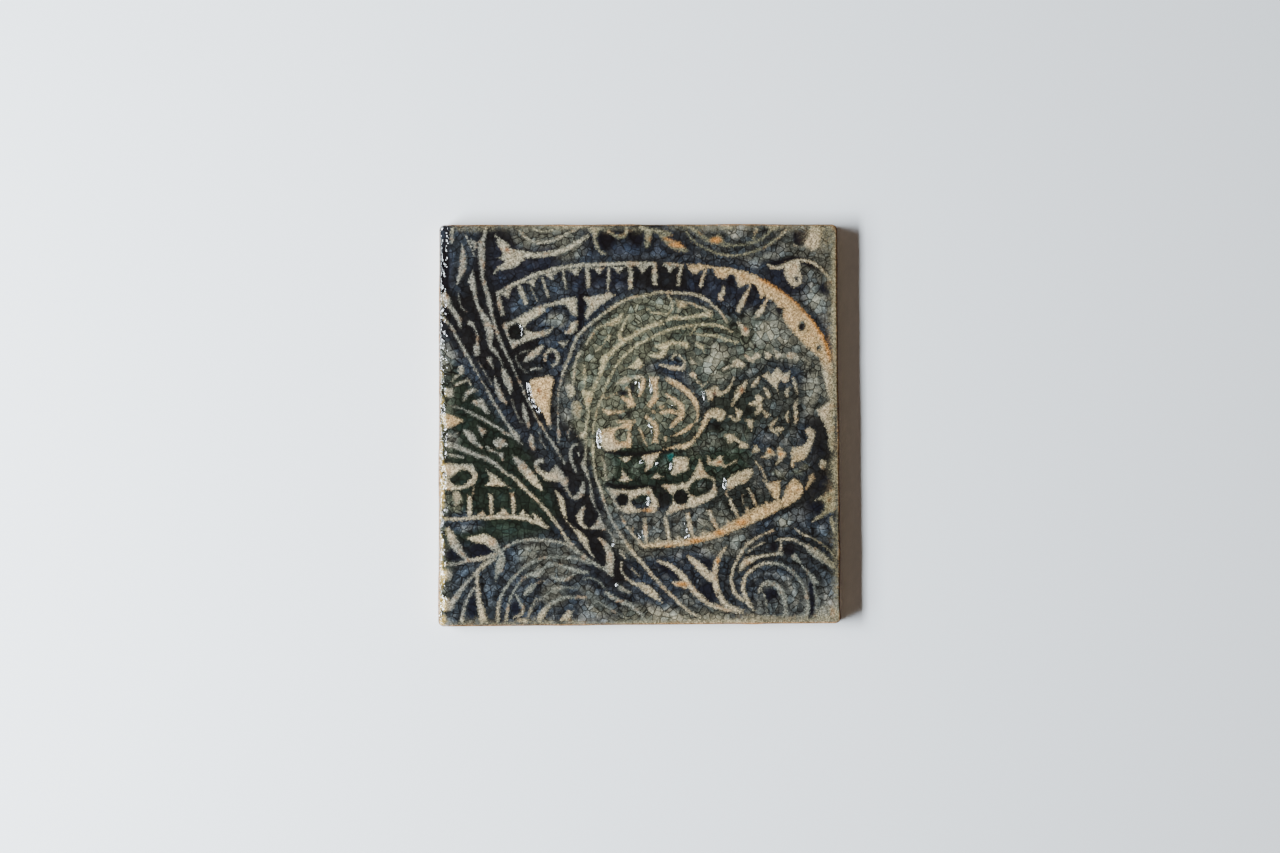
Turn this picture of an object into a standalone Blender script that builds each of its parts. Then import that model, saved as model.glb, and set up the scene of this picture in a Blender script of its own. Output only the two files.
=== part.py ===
"""A square tile of pressed pottery: a paisley pattern of raised lands over sunk ground."""

import math

import bmesh
import bpy
import numpy as np
from mathutils.geometry import delaunay_2d_cdt

# Driving dimensions, in metres
TILE_WIDTH = 0.1006
TILE_LENGTH = 0.1006
THICKNESS = 0.0080
RELIEF_DEPTH = 0.0012
RIM_WIDTH = 0.0009
CORNER_RADIUS = 0.0014
TOP_ARRIS = 0.0005
BACK_ARRIS = 0.0004

# How far each hand-cut corner stands in from the overall square
TOP_LEFT_IN = (0.00025, 0.00012)
TOP_RIGHT_IN = (0.00100, 0.00000)
BOTTOM_RIGHT_IN = (0.00000, 0.00087)
BOTTOM_LEFT_IN = (0.00000, 0.00000)

# The pattern is laid out in hundredths of the tile's side, from the bottom left corner
PATTERN_SIDE = 100.0
CURVE_TOLERANCE = 0.20
NARROWED_END = 0.8
LEAF_POINT = 0.15
LEAF_SWELL = 0.7
DROP_HEAD = 0.25
DROP_REACH = 1.12
TOOTH_TIP = 0.33
TOOTH_HOLLOW = 0.15
STROKE_STEPS = 8
PATCH_STEPS = 5
PIT_SIDES = 12
DOT_SIDES = 6
ARC_STEPS = 6
CLEAN_STEP = 0.01

# Glaze and clay: colour, roughness
PALE_GLAZE = ((0.52, 0.42, 0.30, 1.0), 0.30)
DARK_GLAZE = ((0.035, 0.045, 0.045, 1.0), 0.18)
BARE_CLAY = ((0.42, 0.30, 0.22, 1.0), 0.85)

# The outlines of the pattern in drawing order, each raised or sunk
outlines = []


def pairs(numbers):
    return np.array(numbers, float).reshape(-1, 2)


def thinned(line):
    """The fewest of a line's points that keep it within the curve tolerance."""
    start = line[0]
    along = line[-1] - start
    length = math.hypot(*along)
    rest = line - start
    if length > CLEAN_STEP:
        off = np.abs(rest[:, 0] * along[1] - rest[:, 1] * along[0]) / length
    else:
        off = np.hypot(rest[:, 0], rest[:, 1])
    worst = int(np.argmax(off))
    if off[worst] <= CURVE_TOLERANCE:
        return line[[0, -1]]
    return np.vstack([thinned(line[: worst + 1])[:-1], thinned(line[worst:])])


def thinned_ring(line):
    """A closed line thinned in two halves, from its first point to the one farthest off."""
    far = int(np.argmax(np.hypot(*(line - line[0]).T)))
    there = thinned(line[: far + 1])
    back = thinned(np.vstack([line[far:], line[:1]]))
    return np.vstack([there[:-1], back[:-1]])


def smooth_curve(points, steps, closed=False):
    """A centripetal spline through points, each with its place and any width."""
    if closed:
        guide = np.vstack([points[-1], points, points[:2]])
    else:
        guide = np.vstack([2 * points[0] - points[1], points, 2 * points[-1] - points[-2]])
    made = []
    for p0, p1, p2, p3 in zip(guide, guide[1:], guide[2:], guide[3:]):
        knots = [0.0]
        for before, after in ((p0, p1), (p1, p2), (p2, p3)):
            knots.append(knots[-1] + math.hypot(*(after - before)[:2]) ** 0.5)
        t0, t1, t2, t3 = knots
        for t in np.linspace(t1, t2, steps, endpoint=False):
            a1 = ((t1 - t) * p0 + (t - t0) * p1) / (t1 - t0)
            a2 = ((t2 - t) * p1 + (t - t1) * p2) / (t2 - t1)
            a3 = ((t3 - t) * p2 + (t - t2) * p3) / (t3 - t2)
            b1 = ((t2 - t) * a1 + (t - t0) * a2) / (t2 - t0)
            b2 = ((t3 - t) * a2 + (t - t1) * a3) / (t3 - t1)
            made.append(((t2 - t) * b1 + (t - t1) * b2) / (t2 - t1))
    if not closed:
        made.append(points[-1])
    return np.array(made)


def stroke(line, widths):
    """Adds a land of the given widths along a line."""
    ahead = np.gradient(line, axis=0)
    ahead /= np.hypot(ahead[:, 0], ahead[:, 1])[:, None]
    aside = np.column_stack([-ahead[:, 1], ahead[:, 0]]) * widths[:, None] / 2
    outlines.append((True, np.vstack([thinned(line + aside), thinned(line - aside)[::-1]])))


def share_along(line):
    run = np.concatenate([[0], np.cumsum(np.hypot(*np.diff(line, axis=0).T))])
    return run / run[-1]


def band(widths, *route):
    """A stroke with its own width at each point of its route."""
    made = smooth_curve(np.column_stack([pairs(route), widths]), STROKE_STEPS)
    stroke(made[:, :2], made[:, 2])


def rail(width, *route):
    """A stroke of even width, a little narrower at its ends."""
    widths = np.full(len(route) // 2, float(width))
    widths[[0, -1]] *= NARROWED_END
    band(widths, *route)


def leaf(width, *route):
    """A stroke that swells in its middle and is pointed at both ends."""
    line = smooth_curve(pairs(route), STROKE_STEPS)
    swell = np.sin(math.pi * share_along(line)) ** LEAF_SWELL
    stroke(line, LEAF_POINT + (width - LEAF_POINT) * swell)


def drop(width, *route):
    """A stroke with a round head and a long pointed tail."""
    line = smooth_curve(pairs(route), STROKE_STEPS)
    share = share_along(line)
    stroke(line, LEAF_POINT + width * np.minimum((share / DROP_HEAD) ** 0.5, DROP_REACH - share))


def patch(*corners):
    """A land with a smooth outline."""
    outlines.append((True, thinned_ring(smooth_curve(pairs(corners), PATCH_STEPS, closed=True))))


def plate(*corners):
    """A land with a straight-edged outline."""
    outlines.append((True, pairs(corners)))


def pool(*corners):
    """A smooth hollow in the lands drawn before it."""
    outlines.append((False, thinned_ring(smooth_curve(pairs(corners), PATCH_STEPS, closed=True))))


def round_outline(u, v, radius, sides):
    turn = np.arange(sides) * 2 * math.pi / sides
    return np.column_stack([u + radius * np.cos(turn), v + radius * np.sin(turn)])


def pit(u, v, radius, sides=PIT_SIDES):
    """A round hollow in the lands drawn before it."""
    outlines.append((False, round_outline(u, v, radius, sides)))


def dot(u, v, radius):
    """A small round land."""
    outlines.append((True, round_outline(u, v, radius, DOT_SIDES)))


def tooth(way, u0, v0, u1, v1, u2, v2):
    """A tooth of a border, pointing up or down: two feet, hollow flanks and a blunt tip."""
    hollow = way * TOOTH_HOLLOW
    left = ((u0 + 2 * u1) / 3, (v0 + 2 * v1) / 3 - hollow)
    right = ((u2 + 2 * u1) / 3, (v2 + 2 * v1) / 3 - hollow)
    plate(u0,v0, *left, u1 - TOOTH_TIP,v1, u1 + TOOTH_TIP,v1, *right, u2,v2)


def corner_stems():
    """Stems and leaves of the top left corner."""
    rail(1.2, 3.5,99.3, 3.4,97, 3.3,95)
    leaf(1.9, 5.9,95.4, 6.2,92, 6.1,89, 5.3,87, 4.6,85)
    rail(.7, 6.9,97.5, 7.3,96, 8.2,94.4, 9,92)
    leaf(1.5, 8.2,96.3, 9,94.9, 9.2,93.3)
    band((1.5,1.9,1.3,1.4,1.5,.4), 1.2,83, 2.1,81.5, 3,79.3, 4.2,77.7, 5.2,76.3, 5.8,73.8)
    rail(.8, .6,79, 1.2,77.2, 2,75.7)


def stem_sheaf():
    """The sheaf of stems from the top left corner to the foot of the tile."""
    band((1.1,1.1,1.8,2,1.4,1.1,1.2,1.4,1.1,1.1,.9,.8,.6,.6,.6,.7,.8,.6), 12,99.5, 11.5,97.3,
         10.8,95.5, 10.8,92.5, 10.9,89, 11.1,86.5, 12,83.5, 12.8,80.5, 13.6,77, 14.8,73, 16,69.8,
         17.3,67.3, 19.8,62, 22.2,56.5, 24,53, 26.5,48.6, 29,44.8, 31.8,40.2)
    band((.2,1.9,1.3,1,1.1,2,2.3,2.1,1.6,1.3,1.2,.7,.5), 8.6,88.6, 8.4,86, 9,83.3, 9.5,81,
         10.2,78.9, 11.9,76.2, 12.6,74.7, 13,73, 12.9,71.3, 13.1,69.7, 14.3,68.3, 15.3,66.7,
         16.2,64.8)
    band((.8,.9,.9,1.1,.7,.5,.8,.8,.9,.9,1.6,1.4,.3), 2,76, 3.7,73.7, 5.3,70.7, 7.2,67.5, 8.8,64.7,
         11,60.9, 12.3,58.7, 14,55.6, 16,52.3, 17.6,49.8, 19,48, 20,46.6, 20.9,45.2)
    band((1.3,1.1,.6,.7,.9), 7.4,75.8, 8.6,75, 9.5,73.4, 9.8,71.8, 9.6,70.2)
    patch(9.1,70.3, 10,70.5, 10.6,69, 10.4,67.6, 9.7,67, 9,67.6, 8.7,68.8)
    drop(1.5, 12.6,67.3, 13,65.8, 13.9,64)
    leaf(2, 15.9,64.6, 16.9,62, 17.8,59.5, 17.9,57.5)
    leaf(1.6, 14.2,62.3, 14.6,60, 15.4,57.6, 17.3,55)
    leaf(1.5, 21,55.7, 22,51.7, 22.7,49.2)
    rail(.5, 23.3,54.5, 24.2,52.5, 24.8,51)
    leaf(1.6, 23.3,48, 23.3,46, 24,43.6)
    plate(22.7,60.5, 23.1,61.4, 25,61.9, 27,62.3, 28,62.7, 29.1,61.3, 28.5,59, 28.2,56, 27.9,53.3,
          28.4,50.5, 28.2,48.8, 27.2,49.9, 26.7,51.7, 25.7,53.5, 24.2,55.3, 23.2,57, 22.8,58.8)


def sheaf_foot():
    """The leaves, commas and crescents in the lower half of the sheaf."""
    leaf(2.6, 18.4,42.7, 20.3,40.6, 22.6,37.8, 26.2,33.6)
    band((1.3,1.5,1.3,1.3,1.6), 26.4,41.3, 25,41, 24.5,39.9, 25.3,38.6, 26.9,37.5)
    patch(26.4,38.3, 27.6,38.6, 28.7,39.3, 29.4,40.2, 30.5,39.3, 31.4,37.9, 32.6,36.2, 32.4,34.6,
          33.4,32.2, 31.9,33.6, 31,35, 29.8,35.9, 28,36, 26.3,36.7)
    band((.5,1.2,1.7,1.5,.4), 32.7,32.6, 34,32, 35.4,32.8, 36,34.3, 36,36.1)
    leaf(1.6, 29.2,33.8, 30.6,31.5, 31.1,29.3, 31.9,26.4)
    band((.4,1.3,1.9,1.6,1,.4), 36.7,30.1, 35.8,28.8, 35.3,27.3, 35.5,26, 36.3,24.9, 37.6,24.2)
    plate(37.6,24.1, 38.9,25.5, 40.3,27.5, 41.2,25.9, 42.6,23.8, 40,23.9)
    band((.7,.9,1,.9,.6), 35.1,45.3, 33.5,44.8, 33,43, 33.3,41, 34.5,38.2)
    plate(34.6,47.2, 36,48.5, 37.2,50, 37.3,48, 36.8,45.8, 36,46.4)
    band((.6,.7,.9,1.3,1.2,.5,.9,1.1,.6,.5), 37,46.5, 36.8,44, 36.6,42, 36.3,40.2, 36.9,38.2,
         37.8,36, 38,34, 38.3,32, 39.3,29.3, 41,27)
    rail(.6, 35,43.2, 35.1,42.1)
    band((.5,1,.7,.7,.8,1,.8,.9,.9,.9,1,1,1,.9,.9,.8,.6), 38.2,46.6, 38.7,44.8, 38.6,42, 39,39,
         39.5,36.5, 40.4,34.3, 41.5,30.6, 43,26.8, 44.5,24.3, 46.3,21.4, 48.5,18.2, 51.3,15,
         54,11.7, 57,8.5, 60,5.5, 62.5,3.4, 65.5,1.6)
    rail(.7, 40.6,42, 41.4,40.6, 41.5,38, 42.2,36.2)
    rail(.8, 42.2,34.4, 43.3,32.6, 44.2,30.4, 45.1,28.8)
    band((.5,.8,.8,.6,.5), 45.5,27.5, 46.8,25, 48.4,22.8, 50,21, 51,20)
    rail(.6, 28.2,49.3, 27.5,51)


def left_fan():
    """The fan of leaves and bars that fills the left side."""
    patch(5,64.8, 6,65, 6.6,63.8, 6.3,62.6, 5.4,62.6, 4.9,63.6)
    rail(.7, 5.5,62.8, 4.2,61.9, 3.2,61)
    band((.7,.8,.9,.5), 4.2,60, 6,60.8, 7.5,61.3, 8.1,60)
    patch(1.8,59.2, 3.6,59.5, 4,58.6, 3.8,57.1, 2.6,56.9, 1.7,57.6)
    leaf(1.4, 9.9,58.7, 8.5,58.7, 7.2,57.8, 6.3,56)
    plate(8.1,55.6, 9,56.4, 11,56.8, 12,55.6, 12.5,54.2, 13.1,53.3, 12.9,52.7, 11.9,53, 10.4,54.3)
    band((.4,.8,.9,1,.9,.9,.8,.8), 6,54.2, 8,53.2, 10,52.2, 12,51.2, 14,50, 15.6,49, 17,48,
         18.8,47.1)
    patch(.8,52.8, 3,52.9, 5,52, 6.4,51.2, 5.4,50.5, 4.3,50, 3.2,49.3, 1.6,49.5)
    rail(.9, 2.3,47.8, 3.5,47.5, 5,48)
    leaf(2.2, 6.3,49, 8,47.4, 9.5,45.2)
    rail(.9, 9,46, 10.3,45, 11.2,44.3)
    patch(9.6,50.2, 11,49.6, 12.3,48.6, 11.6,48, 11,47.2, 10.3,48.5)
    patch(13.7,46, 14.4,46.9, 15.7,46.9, 17,46, 17.6,45.2, 16.6,44.6, 15.5,44.2, 14.3,44.6)
    rail(.8, 12,44.9, 13,44, 14.8,43)
    patch(14.7,42.9, 16.2,43.3, 16.5,42, 16.1,41.3, 15.4,42.2)
    rail(.9, 2.3,43, 4,42.6, 6.4,42)
    band((1.4,1.4,1.3,1.2,1,.8,.9,1.1,1,.9,.9,.9,.9,1,.9), 2,45.6, 6,44.3, 10,42.5, 13,41.4,
         15,39.8, 17,38.1, 19,37, 21,34.8, 24,32, 26,29.9, 28.3,27.2, 30.5,24, 32.7,20.9, 34.2,19.4,
         35.6,18)
    patch(.9,40.4, 5,40.5, 8.8,40.5, 9.5,38.9, 9.9,37, 9,35.3, 7,34.4, 5,34, 2,34, .9,34.6)
    pool(2.8,36.7, 4,37.6, 5.2,38.5, 6.3,39, 7.6,38.5, 8.5,37.6, 7.8,36.6, 7,35.6, 5.5,35.2, 4,35.7)
    pool(.7,37, 1.1,38.2, 1.7,38.2, 1.9,37, 1.7,36, 1.1,35.8)
    plate(11.9,39.3, 12.5,38.1, 12.8,37, 12.5,36, 11.7,35, 16.6,34.9, 18.3,34.3, 16.3,36.1,
          13.8,38.1)


def left_border():
    """The toothed border of the left paisley, with its pickets."""
    band((.9,1.1,1,1.1,1.2,1.2,1.2,1.2,1.2,1.1,.5), 1.5,26.9, 4,26.9, 6.5,26.9, 10,27.2, 13,27.2,
         16,27.3, 19,27.3, 21,27, 23,26.4, 25,25.6, 27.6,24.4)
    for left, peak, right, height in ((9.1,11.1,12.8,29), (14,16.3,18.3,29.7), (19.5,21.2,23.4,29.1)):
        plate(left,27.4, peak-.8,height-.8, peak,height, peak+.7,height-.8, right,27.3)
    patch(23.6,28.5, 24.6,27.8, 25.8,26.7, 27.5,24.5, 26,25, 24.2,26)
    rail(1.4, 7.9,32.8, 7.9,30, 7.8,27)
    rail(1.1, 13.1,33.1, 13.3,30.5, 13.4,27.8)
    rail(1.2, 18.5,33.3, 18.8,30.5, 18.9,27.5)


def foot_sprig():
    """The sprig in the bottom left corner."""
    band((.5,2,2.6,2.6,2.2,1.6), 7.2,22, 9.5,21.9, 11.8,21.8, 13.6,20.7, 15,19, 16,17.4)
    band((1.6,2.3,2.1,.9,.3), 15.9,18, 15.7,16.2, 15.2,14.2, 14.6,12.6, 14.3,11.2)
    band((1.4,1.3,1.2,1.1,1,.9,.7), 15,18.2, 12.5,17.4, 10,16.9, 7.5,16.6, 5.5,16, 3.5,15.6,
         1.4,15.5)
    band((1,2.2,2.6,1.8,1), 2.4,24.8, 3.2,22.8, 4.2,20.8, 5.7,18.6, 7.3,16.9)
    band((1.2,1.4,1.2,1.1,1.3,1.7,1.6,1), 14.6,17.4, 11.7,15.4, 9.6,13.4, 7.8,11.7, 6,9.5, 4.6,7.4,
         3,5.6, 1.2,4.2)
    patch(.9,7, 2.6,7.4, 4.2,6.6, 4.2,5.2, 2.6,4.2, 1,4.4)
    patch(.9,14.2, 2.4,14.5, 3.6,14, 3,12.6, 1.9,11.6, .9,12.2)
    band((1.1,1.1,1.3,1.5,1.9,2.2), 9.8,13.4, 9.8,11, 10,8.5, 10.4,6, 11,3.5, 11.5,.9)
    band((.8,.9,.9,1.1,1.4), 9.4,9.8, 7.9,8, 7,5.8, 6.4,3.8, 5.9,1)


def foot_arches():
    """The nested arches along the foot of the tile."""
    band((.9,1,.9,.9,.9,1,1.2,1.2,1.1,1.1,1,.9), 15.6,18.9, 18,20.4, 21,21.4, 24.5,21.6, 28,21.3,
         31.5,20.6, 34,19.2, 35.6,17.9, 37.6,16.4, 39.8,15, 42,13.6, 43.4,12.5)
    band((1,1.1,1,1,1,1,1,.9,.9,.9,.9,1.2,1), 14.9,1, 15,4, 15.6,7, 17,9.8, 19,12.4, 21.4,14.7,
         24,16.2, 26.5,17, 29,17.3, 31.5,17.2, 34,16.9, 36.2,16.3, 38.3,15.6)
    band((1,.8,.8,.8,.9,1,1.1), 17,1.4, 17.3,4.5, 18.2,7.4, 19.4,9.6, 21,11.8, 22.8,12.9, 24.4,13.4)
    leaf(2, 22.6,12.6, 24.8,13.2, 26.6,14.6)
    band((.6,.8,.8,1.1,1.2,.8), 26,14.4, 28.6,15.4, 31,15, 33.2,14.3, 35.4,13.6, 37.6,13.3)
    band((.6,1,1.1,1,.7), 19.2,8.4, 20.3,6.3, 21.2,4.6, 20.6,3, 18.8,2.4)
    leaf(1.7, 21.2,7.6, 22.8,9.2, 24.6,11)
    band((.4,1.2,1.3,.9,.4), 28,12.6, 29.8,11.7, 31.8,11.8, 33.4,12.6, 35,13.6)
    band((1.8,1.8,1.4,1.1,1,1,.9), 24.9,1.1, 26,3.2, 27.4,5, 29.4,6.4, 31.6,7.2, 34,7.3, 37,7)
    plate(30.1,1.1, 32.5,1.2, 33.5,2.6, 33.8,3.9, 32.2,4, 31,2.9)
    band((.9,1.4,1.3,1.3,1,.7), 41.3,8.7, 43.2,7.3, 45.6,6, 48,5, 49.8,3.4, 51.4,1.6)
    leaf(1.4, 44.3,10.6, 45.7,9.3, 48.2,8.1)
    band((.6,1.5,2,2.2,2.2,.6), 39.9,22.1, 41.6,20.4, 42.6,18.2, 42.8,15.9, 42.6,14, 43.6,12.2)
    band((.5,1.5,1.9,1.2,.7,.5), 33.6,24.4, 35.2,22.9, 36.3,21.3, 37,19.8, 37.8,18.3, 39,17)
    rail(.5, 31.8,26.4, 32.8,25.2, 34,24.1)
    rail(.6, 41.8,24.2, 43,22.8, 44.4,20.8)
    leaf(1, 45.2,19.2, 45.8,17.9, 46.7,16.7)
    band((.6,.7,.8,.9,1.6,2.3,2.1,1.2,.4), 45.6,16, 45.6,13.9, 46.8,11.9, 48.6,10.6, 50.3,9.9, 52,9,
         53.6,7.8, 54.8,6.7, 55.7,5.7)


def foot_flower():
    """The flower at the foot: a forked stem between two leaves."""
    band((.6,1.1,1.4,1.8,1.7,1.6,1.5,1.3,1.3,1.3,1.2), 54.4,16.1, 56.4,15.5, 58.8,14.1, 61,11.9,
         62.3,10.1, 63.6,8.5, 65.2,6.9, 66.8,5.6, 69,4.6, 72,3.9, 76,3.2)
    patch(58,10.8, 60,11.2, 62,11.2, 62.6,9.8, 61.8,9, 60,9.5, 58.6,10)
    band((.7,1.9,2.2,2.3,1.8), 61.9,17.3, 63.9,15.6, 65.6,13.8, 67.4,12.2, 69,11)
    band((.4,1.1,1.5,1.5,1.6,1.7,1.6,1.5,1.4,1.6), 71.9,19.7, 70.4,17.8, 69.4,16, 68.9,14,
         68.8,11.8, 69,9.6, 69.8,7.6, 70.8,5.9, 72.2,4.6, 74.6,3.6)
    pit(69.5,7.5, .28, 8)


def foot_scroll():
    """The great scroll in the bottom right corner."""
    band((.6,.8,.8,.9,.9,.9,.9,1,1,1.2,1,.6), 83.5,23.6, 80.6,22.4, 78.4,21.2, 76.6,19.8, 75.2,17.8,
         74,15.6, 73.1,13.3, 72.8,11, 73.3,8.8, 74.4,7.1, 76.4,5.8, 78.6,3.4)
    rail(.6, 88.6,24.2, 90.4,22.6, 93.4,21.3, 96,19.6, 98.4,16.9, 99.4,15.2)
    rail(.5, 76.9,17.9, 78.7,19.4, 81,20.6)
    band((.5,.9,.8,.6), 83.8,21, 86.4,21.4, 88.8,20.9, 90.4,20)
    leaf(2.4, 90.2,20.4, 93,18.3, 96,16.2, 99.2,13.3)
    band((.7,.7,.9), 85.3,21, 85.2,19.2, 85,18)
    plate(83.1,17.4, 84.5,18.5, 85.8,18.3, 85.7,16.9)
    band((.4,1.7,1.9,1.2,.9,.9,1.2), 74.7,12.7, 75.8,15, 77.4,16.2, 79.2,16.8, 81,17.2, 83,17.5,
         85,17.6)
    patch(87.5,16.8, 88.8,17.8, 89.6,16.8, 90.2,15.6, 89.2,15.3, 88.3,16)
    band((.8,.7,.8,1.6,1.2,.5), 89.6,16, 90.8,14.1, 92,12.8, 93.1,11.5, 93.8,10.6, 94.6,10)
    band((.9,1.3,1.2,1.1,1,1,1.2,1.1,1,1,1,1.1,1.3,1.5,1.6,1.6), 77.8,4.8, 76.4,6.8, 75.7,9,
         76,11.4, 77.6,13.5, 80,14.9, 82.6,15.3, 85,15, 87.2,13.8, 89,12.1, 90.4,10, 91.2,8, 91.6,6,
         91.6,4, 91.3,2.4, 91,1)
    band((.6,1,1.5,1.6,1.7,1.7,1.5,1.4,1.5), 79.6,7.8, 80,9.4, 81.4,10.3, 83,10.2, 84.4,9.3,
         85.4,7.8, 86,6, 86.2,4, 86.2,2)
    rail(.6, 80,9.2, 81,7.2, 81.5,5, 81.5,2.6)


def fish_tail():
    """The fish-tail flower and its stem, in the top left."""
    patch(14,97.7, 16.3,95.5, 18.6,94, 21.8,93.2, 21.8,91.5, 20.6,90.2, 18.5,88.8, 16,88.5,
          13.6,87.5, 14.6,89.2, 16.3,90.8)
    plate(16.3,90.7, 14.6,91.6, 17.4,92.6, 19,91.6)
    patch(17.3,92.6, 15.3,93.9, 14.4,95.6, 15.4,96.3, 18,94.4)
    band((1.9,1.6,1.6,1.6,1.5,1.3,1.1), 21.3,92.3, 24,92.3, 28,92.6, 31,93.4, 34,94.8, 36,96,
         37.8,97.3)
    rail(.9, 20,98.6, 21.7,96.8, 23.6,95.6, 26,95.5, 29,96, 32,97.3, 35,98.9)
    rail(.8, 23.3,99.3, 24.6,98.4, 26.5,98.1, 28.6,98.6, 30.5,99.8)
    patch(37.4,98.9, 38.6,99.4, 40.3,99.4, 41.2,98.9, 40.4,97.8, 39.8,96.4, 38.8,97, 38,97.8)
    band((1.3,1.1,1.1,1,.9,.6), 39,97.4, 39.3,95.9, 39.7,94.5, 40.4,93.4, 41.3,92.8, 42.3,92.5)


def top_ring():
    """The ring, post and rust leaf along the top edge."""
    band((.9,1,1.1,1.2,1.4,1.3,.9), 41.7,99.2, 42.8,98, 44,97.1, 45.4,96.7, 46.6,97.2, 47.2,98.4,
         47.2,99.6)
    band((.6,1.1,1.8,2.2,1.7,1.4,.8), 49.8,99.6, 51.2,98.8, 52.6,98.2, 52.6,97, 52.4,95.8,
         52.2,94.6, 51.9,93.8)
    band((.6,1.1,1.2,1.4,1.4,.9), 51.4,98.8, 53,98.4, 55,98.1, 56.6,97.7, 58,97.3, 58.6,97)
    patch(54.8,97.8, 56.6,97.6, 58,96.4, 59.6,95.9, 61.1,95, 62.8,92.9, 60.6,92.9, 58.6,93.5,
          57,94.7, 55.7,96)


def garland():
    """Two hanging arcs and a bud along the top edge."""
    band((.6,.8,.8,.8,.9,.9,.9,.9,.9,1,1,1,.9,.5), 61.9,98.2, 63.4,96.2, 65.5,94.6, 68,93.3,
         70.5,92.4, 73,92.1, 75.5,92.2, 78,92.7, 80.3,93.5, 82.4,94.6, 84.4,96, 86,97.2, 87,98.4,
         87.3,99)
    band((.9,1.2,1.3,1.2,.9,.9,.9,.9,1,1,1,1,1), 62.6,99.5, 64.3,98.3, 66,96.9, 67.8,95.7, 70,94.9,
         72.5,94.6, 75,94.6, 77.5,95, 79.6,95.6, 81.2,96.4, 82.5,97.5, 83.6,98.6, 84.8,99.4)
    patch(67.6,96.6, 69.3,97, 70.3,97.7, 71,96.8, 71.8,95.7, 73,94.9, 71,94.7, 68.6,95.2)
    band((.8,.9,1.1), 78.9,95.6, 79.3,97.2, 79.9,99.2)
    patch(93.3,99.7, 92.7,98, 92,96, 91.5,94.4, 92.6,93.5, 94,93.2, 95.3,93.8, 96,95.6, 96.6,97.6,
          97,99.2, 95,99.8)


def bud():
    """The bud on its curved branch, in the top right."""
    band((.6,1,1.1,1.2,1.5), 82.2,90, 83.4,89.2, 84.8,89, 86.2,89.3, 87.4,90)
    patch(86.5,89.9, 88.2,91, 90.5,91, 90.7,89.6, 90.7,88.3, 91.1,87, 91.1,85.6, 90.3,84.4, 89.3,84,
          88,84.6, 87,86.2, 86.5,88)
    band((1,.9,1,1,1.1,1,1,1.2), 89.5,90.8, 91.4,90.8, 93.2,90.4, 94.8,89.5, 96.2,88.3, 97.4,86.9,
         98.4,85, 98.9,83)
    pit(89.7,86.1, .35, 8)


def great_border():
    """The toothed border of the great paisley, over the top and down the right side."""
    line = (14.5,82.6, 17,83.9, 19,85, 21,85.9, 23,86.9, 25,87.5, 27,88.1, 29,88.7, 31,89.1, 34,89.6,
            38,89.7, 42,89.9, 47,90.1, 51,90.1, 54.8,89.9)
    band([.9] + [1.2] * 14, *line)
    rail(1, 56.2,90, 58.8,89.8, 61.4,89.6)
    teeth = ((15.2,82.7, 17.4,81.4, 18.9,84.6), (21.2,85.6, 23.8,84.4, 25.2,87),
             (26.1,87.3, 28.4,86.1, 30.3,88.6), (32,88.9, 34.4,86.9, 36.4,89.1),
             (37.9,89.3, 40.3,87.6, 41.9,89.3), (43,89.5, 45.1,87.5, 47,89.4),
             (48.9,89.8, 51.1,87.8, 53.4,89.7), (56.3,89.9, 57.9,88, 60.4,89.5))
    for corners in teeth:
        tooth(-1, *corners)
    pickets = ((1.3, 15,82.3, 15.5,79.9, 16.2,77.2), (1.4, 20,85.3, 21,82.6, 22.1,79.9),
               (.9, 25.8,87, 26.5,84.9, 27.6,81.6), (.8, 31.1,89, 31.5,86.6, 32,83.8),
               (1.3, 37.2,89.3, 37.5,86.8, 37.6,84), (.9, 42.6,89.5, 42.6,87, 42.4,83.2),
               (1.4, 47.9,89.8, 48.2,86.8, 48,83.6), (1.5, 54.2,89.8, 54.1,87.3, 54.3,84.6),
               (1.1, 61,89.8, 60.4,87.4, 59.9,84.4))
    for width, *route in pickets:
        rail(width, *route)
    rail(1, 67,89, 66.3,86.9, 65.6,84)
    patch(71.4,84.6, 71.9,82.8, 71.3,81.8, 71.4,80.8, 70.3,80.9, 69.8,82, 70.6,83.2)
    band((.6,.9,1.5,1.5,.9), 78.2,84.8, 77.3,82.8, 76.3,80.9, 75.3,79.2, 74.9,77.8)
    band((.6,.9,1.6,1.5,.7), 82.3,81.6, 81.6,79.9, 80.9,78.6, 80,77.4, 79.3,76.5)
    plate(62.2,90, 66,90, 69,89.4, 73,89, 76.5,88.3, 80,87, 83,85.4, 86,83.4, 89,81, 91.5,78.5,
          94,75.7, 96,72.8, 97.5,69.8, 98.5,66.5, 98.9,63, 98.9,56, 97.5,56, 97,57.5, 96.3,60,
          95.8,63, 95,66.5, 93.5,67.8, 91.5,69.5, 89.8,71.3, 88.3,73, 86.8,75, 86.1,76.5, 86.3,79,
          84.6,79.3, 83.6,80.7, 82.3,81.1, 81.6,81.8, 80.6,81.2, 80.1,82.6, 79.6,84.3, 78.7,84.9,
          77,84.7, 75,83.9, 74.5,85.5, 74.1,87, 73.3,87.4, 72.6,87, 72.1,86.1, 70,86.3, 69.2,87.3,
          68.7,88.8, 67.6,89, 66.4,88.6, 64.3,87.4, 63.6,87.4, 62.3,89.4)
    pool(90.3,73.6, 90.2,74.8, 91.2,75.6, 91.6,74.6, 91.2,73.2)
    pit(95,69, .45, 8)


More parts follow.
